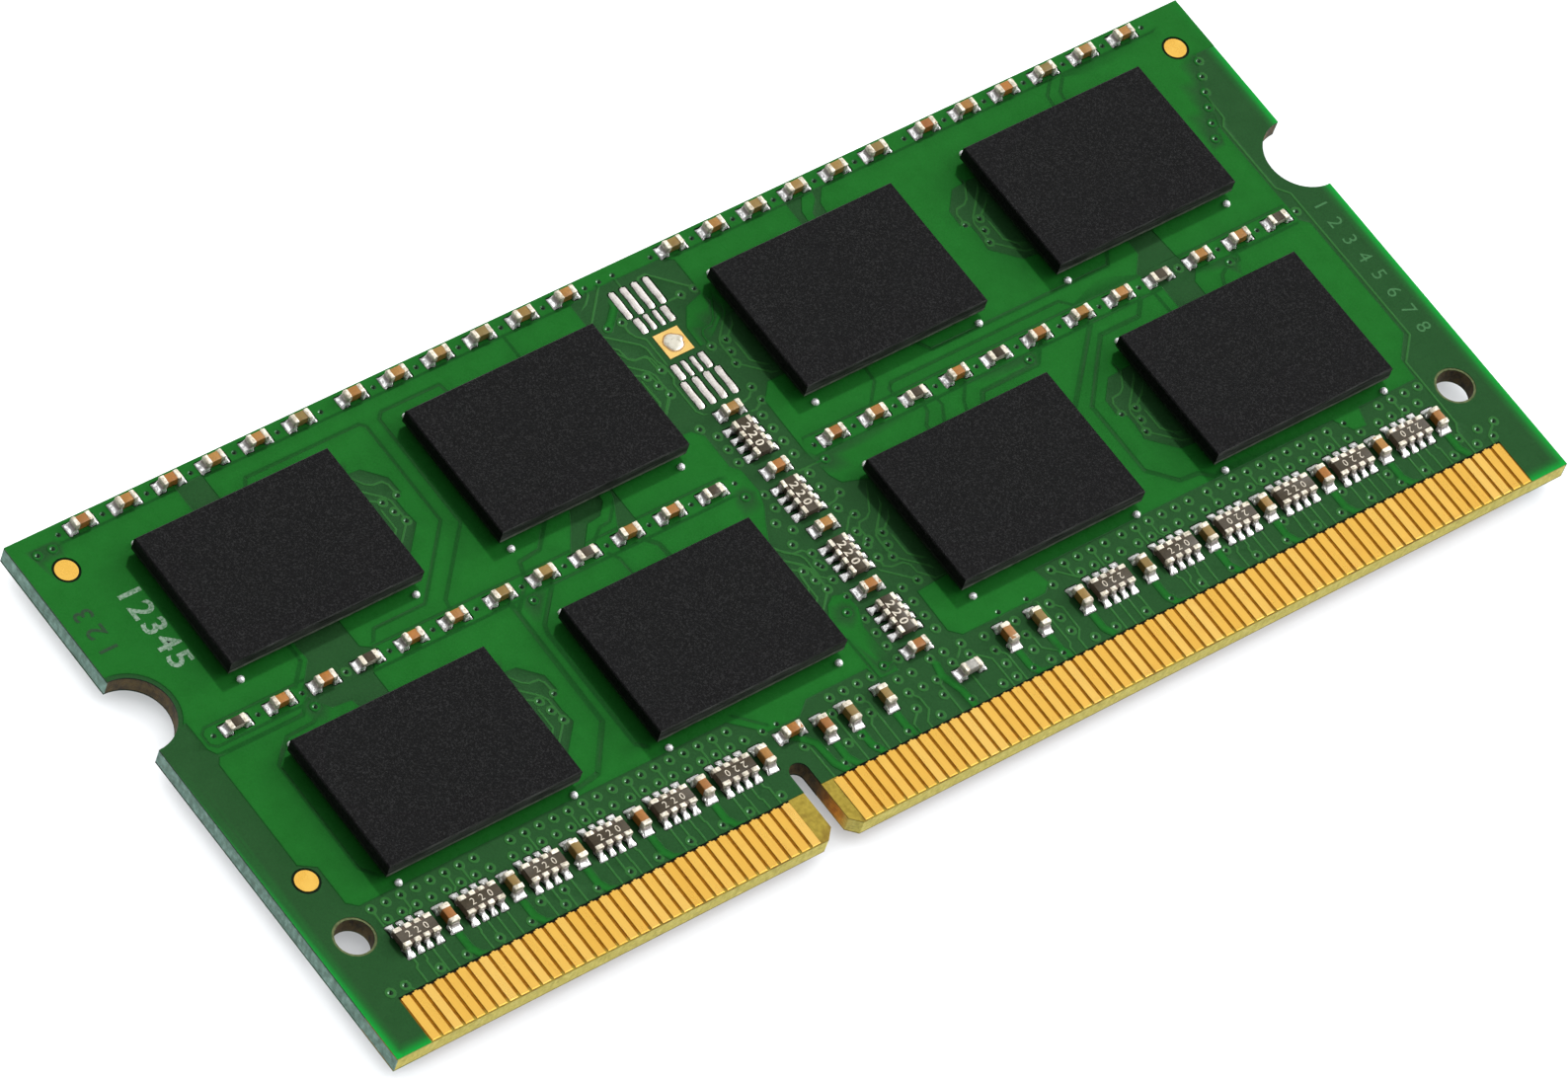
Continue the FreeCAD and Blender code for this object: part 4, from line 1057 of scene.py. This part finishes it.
def capacitor_look():
    """Fired ceramic, each body in its own shade of brown."""
    look = Look("capacitor_ceramic", rough=0.42, specular=0.45)
    body = look.ramp(look.given("tone"), [(0.0, (98, 85, 42)), (0.25, (120, 96, 42)), (0.5, (138, 86, 26)),
                                          (0.75, (140, 100, 42)), (1.0, (126, 74, 22))])
    grain = look.noise(0.08, 3)
    look.colour_from(look.speckled(grain, 0.35, 0.7, 0.35, body, (98, 58, 16)))
    look.rough_from(grain, 0.3, 0.7, 0.36, 0.5)
    look.bump(grain, 0.004)
    return look.material


def ink_look(name, shade, worn, wear):
    """Printed ink that lets some of what is under it show through."""
    look = Look(name, rough=0.55, specular=0.3)
    spots = look.noise(0.14, 4)
    look.colour_from(look.speckled(spots, 0.42, 0.62, wear, shade, worn))
    look.bump(spots, 0.004)
    return look.material


def plain_look(name, dark, light, size, rough, metal=0.0, relief=0.004, specular=0.5):
    """A material of two mottled shades with fine relief."""
    look = Look(name, rough=rough, metal=metal, specular=specular)
    cloud = look.noise(size, 4)
    look.colour_from(look.tones(cloud, 0.32, 0.68, dark, light))
    look.rough_from(cloud, 0.3, 0.7, max(rough - 0.06, 0.05), rough + 0.08)
    look.bump(look.noise(size / 3, 3), relief)
    return look.material


def laminate_look():
    """Routed glass-epoxy walls: layered, torn and mottled; orange at the key slot's mouth and dark brown on
    walls further from the contact edge.
    """
    look = Look("glass_epoxy_edge", rough=0.7, specular=0.3)
    torn = look.noise(0.25, 4, stretch=(1.0, 1.0, 0.5))
    weave = look.noise(0.12, 3, stretch=(0.4, 0.4, 3.0))
    contact_edge = look.ramp(torn, [(0.3, (172, 158, 66)), (0.5, (192, 178, 82)), (0.75, (208, 196, 108))])
    outer_wall = look.ramp(torn, [(0.3, (80, 110, 98)), (0.5, (102, 136, 124)), (0.72, (132, 164, 152))])
    slot_end = look.tones(torn, 0.3, 0.6, (34, 24, 8), (84, 65, 26))
    slot_mouth = look.tones(torn, 0.3, 0.6, (176, 104, 6), (216, 146, 22))
    slot = look.mix(look.from_edge(0.8, 3.0), slot_mouth, slot_end)
    shade = look.mix(look.from_edge(0.3, 1.2), contact_edge, slot)
    outer = look.maths("GREATER_THAN", look.maths("ABSOLUTE", look.axis("X")), (HALF_LENGTH - 0.05) * MM)
    shade = look.mix(outer, shade, outer_wall)
    look.colour_from(look.speckled(weave, 0.4, 0.7, 0.4, shade, (70, 70, 40)))
    look.bump(torn, 0.05)
    look.bump(weave, 0.03)
    return look.material


KEY_ZONE_HALF = 1.4          # bare laminate on either side of the middle of the key slot
CONTACT_ENDS = (2.36, 2.44)  # where the contacts stop, over which the gaps between them darken


def prepreg_look():
    """The bare laminate between lands, round the holes, and between the contacts."""
    look = Look("bare_prepreg", rough=0.6, specular=0.08)
    cloud = look.noise(0.2, 3)
    # painted shade: the narrow bare gaps round lands and fiducials are near black
    near_lands = look.tones(cloud, 0.3, 0.7, (5, 12, 5), (12, 26, 11))
    near_holes = look.tones(cloud, 0.3, 0.7, (62, 70, 44), (90, 96, 64))
    between = look.tones(cloud, 0.3, 0.7, (104, 62, 0), (128, 80, 2))
    olive = look.tones(cloud, 0.3, 0.7, (118, 102, 36), (142, 125, 50))
    olive = look.speckled(look.noise(0.9, 2), 0.48, 0.68, 0.6, olive, (92, 66, 26))
    from_key = look.maths("ABSOLUTE", look.maths("ADD", look.axis("X"), -KEY_X * MM))
    key_zone = look.maths("LESS_THAN", from_key, KEY_ZONE_HALF * MM)
    # painted shadow: the gaps turn near black where the contacts stop, under the mask's edge
    between = look.mix(look.from_edge(*CONTACT_ENDS), between, (8, 8, 3))
    between = look.mix(look.maths("MAXIMUM", look.from_edge(0.0, 0.35, 1.0, 0.0), key_zone), between, olive)
    over = look.maths("SUBTRACT", look.maths("ABSOLUTE", look.axis("X")), HOLE_X * MM)
    up = look.maths("SUBTRACT", look.axis("Y"), (BOARD_LOW.y + HOLE_Y) * MM)
    away = look.maths("SQRT", look.maths("ADD", look.maths("POWER", over, 2.0), look.maths("POWER", up, 2.0)))
    near_lands = look.mix(look.maths("LESS_THAN", away, (HOLE_RADIUS + 0.4) * MM), near_lands, near_holes)
    contact_zone = look.maths("LESS_THAN", look.axis("Y"), (BOARD_LOW.y + MASK_EDGE_Y + 0.02) * MM)
    look.colour_from(look.mix(contact_zone, near_lands, between))
    look.bump(cloud, 0.008)
    return look.material


# ---- building the pieces ------------------------------------------------------------------

CAPACITOR_GROUPS = ("top_row", "middle_row", "centre_column", "connector_row", "back")
FIRED_ROUNDING, FIRED_WOBBLE = 0.045, 0.004
FIRED_SPREAD = 0.012         # how much fired bodies differ in size


def build_chips():
    """The small parts: bodies, terminals, overcoats, and the joints that hold them down."""
    chip_bodies = []
    for node in ["capacitor_bodies_" + group for group in CAPACITOR_GROUPS] + ["bead_bodies"]:
        shapes = both_faces()
        found = solids(node)
        chip_bodies += found
        for face, low, high in found:
            low = low + (0, 0, rng.uniform(-FIRED_SPREAD, 0.0))
            high = high + rng.uniform(-FIRED_SPREAD, FIRED_SPREAD, 3)
            shapes[face].add(*rounded_block(low, high, FIRED_ROUNDING, FIRED_WOBBLE), rng.random())
        bead = node == "bead_bodies"
        look, slot = (BEAD, "bead_ceramic") if bead else (CAPACITOR, "capacitor_ceramic")
        make_piece(node.replace("bodies", "ceramics"), shapes, look, [node])

    add_blocks("resistor_alumina", "resistor_bodies", 0.03, 0.003, ALUMINA, "alumina")
    add_blocks("resistor_glass_coats", "resistor_overcoats", 0.014, 0.003, OVERCOAT, "resistor_glass")
    blocks = (("network_alumina_", "network_bodies_", 0.03, 0.003, NETWORK_ALUMINA, "alumina"),
              ("network_glass_coats_", "network_overcoats_", 0.014, 0.003, OVERCOAT, "resistor_glass"),
              ("network_tin_terminals_", "network_terminals_", 0.035, 0.005, TERMINAL, "tin_terminal"),
              ("chip_tin_terminals_", "chip_terminals_", 0.06, 0.008, TERMINAL, "tin_terminal"))
    for face in FACES:
        for name, node, *rest in blocks:
            add_blocks(name + face, node + face, *rest)
    add_blocks("resistor_tin_terminals", "resistor_terminals", 0.05, 0.007, TERMINAL, "tin_terminal")

    chip_terminals = solids("chip_terminals_front", "chip_terminals_back", "resistor_terminals")
    network_terminals = solids("network_terminals_front", "network_terminals_back")
    network_bodies = solids("network_bodies_front", "network_bodies_back")
    joints = joints_for(chip_terminals, chip_bodies + solids("resistor_bodies"), True, CHIP_JOINT)
    joints += joints_for(network_terminals, network_bodies, False, NETWORK_JOINT)
    joints += joints_for(solids("serial_memory_leads"), solids("serial_memory_body"), True, LEAD_JOINT)
    windows = {face: [] for face in FACES}
    shapes = both_faces()
    for face, origin, outwards, half, sizes in joints:
        points, faces = fillet(half, **sizes)
        shapes[face].add(turned(points, outwards) + (*origin, 0.0), flipped(faces), rng.random())
        windows[face].append(joint_window(origin, outwards, half, sizes))
    for face in FACES:
        node = "solder_joints_" + face
        make_piece("solder_fillets_" + face, {face: shapes[face]}, SOLDER, [node], SOLDER_SHARP)
    return windows


def add_blocks(name, node, rounding, wobble, look, slot):
    """Rounded blocks in place of the separate solids of a CAD node."""
    shapes = both_faces()
    for face, low, high in solids(node):
        shapes[face].add(*rounded_block(low, high, rounding, wobble), rng.random())
    make_piece(name, shapes, look, [node])


def build_contacts():
    """The gold fingers of both faces, in a short and a long group."""
    for face in FACES:
        for group in ("short", "long"):
            node = "contacts_%s_%s_group" % (face, group)
            shapes = Gathered()
            for _, low, high in solids(node):
                shapes.add(*contact(low, high), rng.random())
            make_piece("gold_fingers_%s_%s" % (face, group), {face: shapes}, GOLD, [node],
                       CONTACT_SHARP)


SENSOR_LAND_INSET = 0.02
LONG_LAND = 1.2              # only lands longer than this have a drawn-out tip
LAND_NUB = 0.10
LAND_TIN_HEIGHT = 0.04


def build_sensor_lands():
    """The empty footprint of a temperature sensor: tinned lands, and a dome of solder on its pad."""
    shapes = Gathered()
    windows = []
    _, pad_low, pad_high = solids("sensor_thermal_pad")[0]
    centre_y = (pad_low + pad_high)[1] / 2
    for _, low, high in solids("sensor_pads"):
        long_land = high[1] - low[1] > LONG_LAND
        nub = LAND_NUB * math.copysign(1, (low + high)[1] / 2 - centre_y) * long_land
        inset = np.array([SENSOR_LAND_INSET, 0.0, 0.0])
        shapes.add(*pillow(low + inset, high - inset, LAND_TIN_HEIGHT, nub), rng.random())
        windows.append(window(low, high))
    windows.append(window(pad_low, pad_high))
    make_piece("sensor_land_tin", {"front": shapes}, LAND_TIN, ["sensor_pads"], SOLDER_SHARP)
    centre = (pad_low + pad_high)[:2] / 2
    for name, shape, look in (("sensor_pad_dome", solder_dome, DOME), ("sensor_pad_flux", flux_ring, FLUX)):
        shapes = Gathered()
        shapes.add(*shape(centre))
        make_piece(name, {"front": shapes}, look, (), SOLDER_SHARP)
    return windows


FIGURE_SHARE = 0.70          # height of a figure over the font size
INK_DEPTH = 0.004
UPRIGHT, DOWNWARDS, UPWARDS = 0.0, -math.pi / 2, math.pi / 2     # which way a row of figures runs
# Plain figures where a real module carries its codes: (name, text, height, pitch, start, turn, z, weight).
FIGURE_ROWS = (
    ("printed_figures", "12345", 1.15, 0.98, (-30.2, 25.4), DOWNWARDS, COPPER_Z + INK_DEPTH, 0.035),
    ("etched_figures", "123", 0.95, 1.0, (-32.75, 23.4), UPWARDS, COPPER_Z + INK_DEPTH / 2, 0.015),
    ("layer_figures", "12345678", 0.75, 1.12, (32.6, 17.2), DOWNWARDS, BARE_Z + INK_DEPTH, 0.0))
NETWORK_CODE, NETWORK_CODE_Z = "220", 0.434
ROW_CODE = (0.34, 0.47, 0.0)        # height, pitch and weight on the networks of the connector row
COLUMN_CODE = (0.43, 0.51, 0.012)   # and of the centre column
UPSIDE_DOWN_XS = (-11.75, 10.0, 17.4, 24.4, 27.9)    # networks that stand the other way round
SAME_NETWORK = 0.6           # a network this near to one of those places is the one meant


def lettering(text, height, pitch, start, turn, z, weight):
    """Figures as flat shapes, centred on places a pitch apart along a turned line."""
    shapes = Gathered()
    heading = np.array([math.cos(turn), math.sin(turn)])
    for i, figure in enumerate(text):
        curve = bpy.data.curves.new("figure", "FONT")
        curve.body = figure
        curve.size = height / FIGURE_SHARE
        curve.align_x = "CENTER"
        curve.extrude = INK_DEPTH
        curve.offset = weight
        curve.resolution_u = 4
        holder = bpy.data.objects.new("figure", curve)
        mesh = bpy.data.meshes.new_from_object(holder)
        points = np.array([tuple(v.co) for v in mesh.vertices]) - (0, height / 2, 0)
        faces = [tuple(p.vertices) for p in mesh.polygons]
        bpy.data.objects.remove(holder)
        bpy.data.curves.remove(curve)
        bpy.data.meshes.remove(mesh)
        shapes.add(turned(points, heading) + (*(start + heading * pitch * i), z), faces)
    return shapes


def build_lettering():
    """Figures on the networks, and the printed, etched and raised rows on the board."""
    codes = Gathered()
    for _, low, high in solids("network_bodies_front"):
        middle = (low + high)[:2] / 2
        along_row = high[0] - low[0] > high[1] - low[1]
        turn = DOWNWARDS
        if along_row:
            turn = math.pi if min(abs(middle[0] - x) for x in UPSIDE_DOWN_XS) < SAME_NETWORK else UPRIGHT
        height, pitch, weight = ROW_CODE if along_row else COLUMN_CODE
        start = middle - pitch * np.array([math.cos(turn), math.sin(turn)])
        made = lettering(NETWORK_CODE, height, pitch, start, turn, NETWORK_CODE_Z, weight)
        codes.add(np.concatenate(made.points), made.faces)
    make_piece("network_codes", {"front": codes}, CODE_INK, (), FIGURE_SHARP)
    for (name, *row), look in zip(FIGURE_ROWS, (BOARD_INK, ETCHED, RAISED)):
        make_piece(name, {"front": lettering(*row)}, look, (), FIGURE_SHARP)


def build_masks(windows):
    """The mask sheets of both faces, over the same copper, with the vias' dishes as pieces of their own."""
    fan_vias, fan_zones, fan_traces = fan_outs()
    vias = row_vias() + VIA_PLACES + fan_vias
    pad_traces, pad_strips = connector_lines(vias)
    copper = Copper(TRACES + fan_traces + pad_traces, STRIPS + pad_strips, vias, RINGED_VIAS,
                    BARE_ZONES + [notch_zone()] + fan_zones)
    for face in FACES:
        sheet, in_dish = mask_sheet(face, windows[face] + round_windows(), copper)
        dishes = split_off(sheet, "via_dishes_" + face, in_dish)
        node = "solder_mask_" + face
        finish_piece("solder_mask_sheet_" + face, sheet, MASK, [node], SHEET_SHARP)
        finish_piece("via_dishes_" + face, dishes, MASK, (), SHEET_SHARP)


MASK = mask_look()
MOULD = mould_look()
GOLD = gold_look()
SOLDER = joint_look()
LAND_TIN = land_tin_look()
DOME = plain_look("reflowed_dome", (178, 172, 154), (208, 203, 188), 0.3, 0.3, metal=0.5, relief=0.004)
FLUX = plain_look("flux_ring", (120, 84, 36), (168, 124, 62), 0.1, 0.4)
CODE_INK = ink_look("code_ink", (186, 178, 162), (112, 100, 88), 0.45)
BOARD_INK = ink_look("board_ink", (118, 138, 120), (50, 98, 56), 0.8)
ETCHED = ink_look("etched_figures", (8, 44, 14), (14, 60, 20), 0.6)
RAISED = ink_look("raised_figures", (40, 92, 46), (32, 78, 36), 0.6)
TERMINAL = terminal_look()
CAPACITOR = capacitor_look()
BEAD = plain_look("bead_grey", (124, 122, 116), (156, 153, 145), 0.12, 0.5)
ALUMINA = plain_look("resistor_alumina", (150, 140, 128), (186, 176, 160), 0.12, 0.6)
NETWORK_ALUMINA = plain_look("network_alumina", (62, 52, 42), (88, 76, 64), 0.14, 0.62, specular=0.3)
OVERCOAT = plain_look("overcoat_brown", (42, 35, 22), (58, 49, 33), 0.10, 0.45, specular=0.3)
LAMINATE = laminate_look()
PREPREG = prepreg_look()
COPPER = plain_look("etched_copper", (150, 80, 46), (190, 112, 72), 0.2, 0.35, metal=1.0)
PACKAGE_LAMINATE = package_laminate_look()
SILICON = plain_look("silicon_die", (70, 72, 80), (92, 94, 104), 0.5, 0.2, relief=0.001)
BALL = plain_look("ball_solder", (168, 168, 172), (205, 205, 208), 0.1, 0.28, metal=1.0)
THERMAL_LAND = plain_look("thermal_land_gold", (252, 204, 112), (255, 216, 132), 0.6, 0.3, 1.0, 0.001)
FIDUCIAL = plain_look("fiducial_gold", (252, 196, 86), (255, 206, 98), 0.8, 0.28, 1.0, 0.001)
LEAD = plain_look("tinned_lead", (176, 176, 180), (212, 212, 214), 0.15, 0.34, metal=1.0)
DOT = plain_look("corner_dot_tin", (236, 236, 236), (250, 250, 250), 0.1, 0.25, metal=0.5)

NODE_LOOKS = {
    "laminate_core": LAMINATE, "prepreg_front": PREPREG, "prepreg_back": PREPREG,
    "inner_ground_plane": COPPER, "inner_power_plane": COPPER, "fiducials": FIDUCIAL,
    "sensor_thermal_pad": THERMAL_LAND, "serial_memory_body": MOULD, "serial_memory_leads": LEAD}
for face in FACES:
    NODE_LOOKS.update({"memory_%s_%d_mould_cap" % (face, i): MOULD for i in range(1, PACKAGES + 1)})
    for part, look in (("substrates", PACKAGE_LAMINATE), ("dies", SILICON), ("solder_balls", BALL),
                       ("corner_dots", DOT)):
        NODE_LOOKS["memory_%s_%s" % (face, part)] = look


def dress_cad_nodes():
    """Gives the CAD nodes that stay as they are their materials."""
    for name, look in NODE_LOOKS.items():
        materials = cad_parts[name].data.materials
        materials.clear()
        materials.append(look)


windows = build_chips()
build_contacts()
windows["front"] += build_sensor_lands()
build_lettering()
build_masks(windows)
dress_cad_nodes()


# ---- floor, light and camera --------------------------------------------------------------

FLOOR_SIZE = 4.0              # metres
FLOOR_GLOW = 0.34             # the paper glows a little, so that shadows on it stay pale
# Each lamp has the direction it comes from, its strength, and the angle it spans in degrees.
SUN_FROM, SUN_STRENGTH, SUN_ANGLE = Vector((0.65, 0.60, 1.08)), 2.8, 4.0
# Even light from above on the paper alone, for a soft shadow close to the board.
DOME_FROM, DOME_STRENGTH, DOME_ANGLE = Vector((-0.25, 0.34, 1.0)), 13.0, 120.0
# Low beyond the right end; only small parts and the vias' dishes mirror it.
LOW_FROM, LOW_STRENGTH, LOW_ANGLE = Vector((0.93, 0.03, 0.36)), 2.25, 29.0
LEVEL_PIECES = ("floor", "solder_mask_sheet", "gold_fingers", "memory_", "laminate_core", "prepreg",
                "fiducials", "sensor_thermal_pad", "inner_", "serial_memory_body")
# Soft panels of light: (direction, cosine where it starts, cosine where it is full, least, most).
# The first is what level metal mirrors to the camera, and the others light fillets on the contact side
# and on the left.
SKY_PANELS = (((0.503, 0.355, 0.788), 0.45, 0.96, 0.20, 0.95), ((0.65, -0.40, 0.62), 0.86, 0.95, 0.0, 3.6),
              ((-0.57, 0.33, 0.75), 0.95, 0.985, 0.0, 1.7))
SKY_COLOUR = (0.97, 0.98, 1.0, 1.0)


def build_floor():
    """White paper under the module."""
    bpy.ops.mesh.primitive_plane_add(size=FLOOR_SIZE, location=(0, 0, 0))
    floor = bpy.context.object
    floor.name = "floor"
    look = Look("floor_paper", rough=0.8, specular=0.1)
    look.colour_from(look.mix(look.noise(30.0, 3), (136, 137, 138), (140, 141, 142)))
    glow = look.mix(look.noise(30.0, 3), (238, 240, 244), (242, 243, 246))
    look.put(look.shader.inputs["Emission Color"], glow)
    look.shader.inputs["Emission Strength"].default_value = FLOOR_GLOW
    look.bump(look.noise(0.6, 3), 0.01)
    floor.data.materials.append(look.material)


def add_sun(name, towards, strength, angle, pieces, gloss):
    """A soft lamp far away that lights only some pieces."""
    sun = bpy.data.objects.new(name, bpy.data.lights.new(name, "SUN"))
    sun.data.energy = strength
    sun.data.angle = math.radians(angle)
    sun.rotation_euler = towards.to_track_quat("Z", "Y").to_euler()
    sun.visible_glossy = gloss
    receivers = bpy.data.collections.new("lit_by_" + name)
    for piece in pieces:
        receivers.objects.link(piece)
    sun.light_linking.receiver_collection = receivers
    bpy.context.scene.collection.objects.link(sun)


def build_light():
    """The sun on the module, a dome of light on the paper, and the low lamp on everything."""
    meshes = [piece for piece in bpy.context.scene.objects if piece.type == "MESH"]
    floor = bpy.data.objects["floor"]
    module = [piece for piece in meshes if piece != floor]
    level = [piece for piece in meshes if piece.name.startswith(LEVEL_PIECES)]
    uneven = [piece for piece in meshes if piece not in level]
    add_sun("sun", SUN_FROM, SUN_STRENGTH, SUN_ANGLE, module, False)
    add_sun("floor_dome", DOME_FROM, DOME_STRENGTH, DOME_ANGLE, [floor], True)
    add_sun("low_fill", LOW_FROM, LOW_STRENGTH, LOW_ANGLE, level, False)
    add_sun("low_lamp", LOW_FROM, LOW_STRENGTH, LOW_ANGLE, uneven, True)


def build_sky():
    """The soft panels, added up."""
    world = bpy.data.worlds.new("studio")
    world.use_nodes = True
    tree = world.node_tree
    direction = tree.nodes.new("ShaderNodeTexCoord")
    total = None
    for towards, low, high, least, most in SKY_PANELS:
        facing = tree.nodes.new("ShaderNodeVectorMath")
        facing.operation = "DOT_PRODUCT"
        facing.inputs[1].default_value = Vector(towards).normalized()
        tree.links.new(direction.outputs["Generated"], facing.inputs[0])
        spread = tree.nodes.new("ShaderNodeMapRange")
        spread.interpolation_type = "SMOOTHSTEP"
        tree.links.new(facing.outputs["Value"], spread.inputs["Value"])
        for key, number in (("From Min", low), ("From Max", high), ("To Min", least), ("To Max", most)):
            spread.inputs[key].default_value = number
        if total is None:
            total = spread.outputs["Result"]
        else:
            added = tree.nodes.new("ShaderNodeMath")
            tree.links.new(total, added.inputs[0])
            tree.links.new(spread.outputs["Result"], added.inputs[1])
            total = added.outputs[0]
    background = tree.nodes["Background"]
    background.inputs["Color"].default_value = SKY_COLOUR
    tree.links.new(total, background.inputs["Strength"])
    bpy.context.scene.world = world
    bpy.context.scene.view_settings.view_transform = "Standard"


CAMERA_PLACE = Vector((-239.062, -168.382, 373.049))
CAMERA_AIM = Vector((-2.0135, -1.0626, 2.08))
CAMERA_ROLL = 22.044          # degrees
CAMERA_LENS, SENSOR_WIDTH = 242.014, 36.0
CAMERA_NEAR = 0.01            # metres


def build_camera():
    """A long lens, high up on the left of the contact side, and rolled."""
    camera = bpy.data.objects.new("camera", bpy.data.cameras.new("camera"))
    camera.data.lens = CAMERA_LENS
    camera.data.sensor_width = SENSOR_WIDTH
    camera.data.clip_start = CAMERA_NEAR
    camera.location = CAMERA_PLACE * MM
    camera.rotation_mode = "QUATERNION"
    forward = CAMERA_AIM - CAMERA_PLACE
    camera.rotation_quaternion = (forward.to_track_quat("-Z", "Y")
                                  @ Quaternion((0, 0, 1), math.radians(CAMERA_ROLL)))
    bpy.context.scene.collection.objects.link(camera)
    bpy.context.scene.camera = camera


build_floor()
build_light()
build_sky()
build_camera()
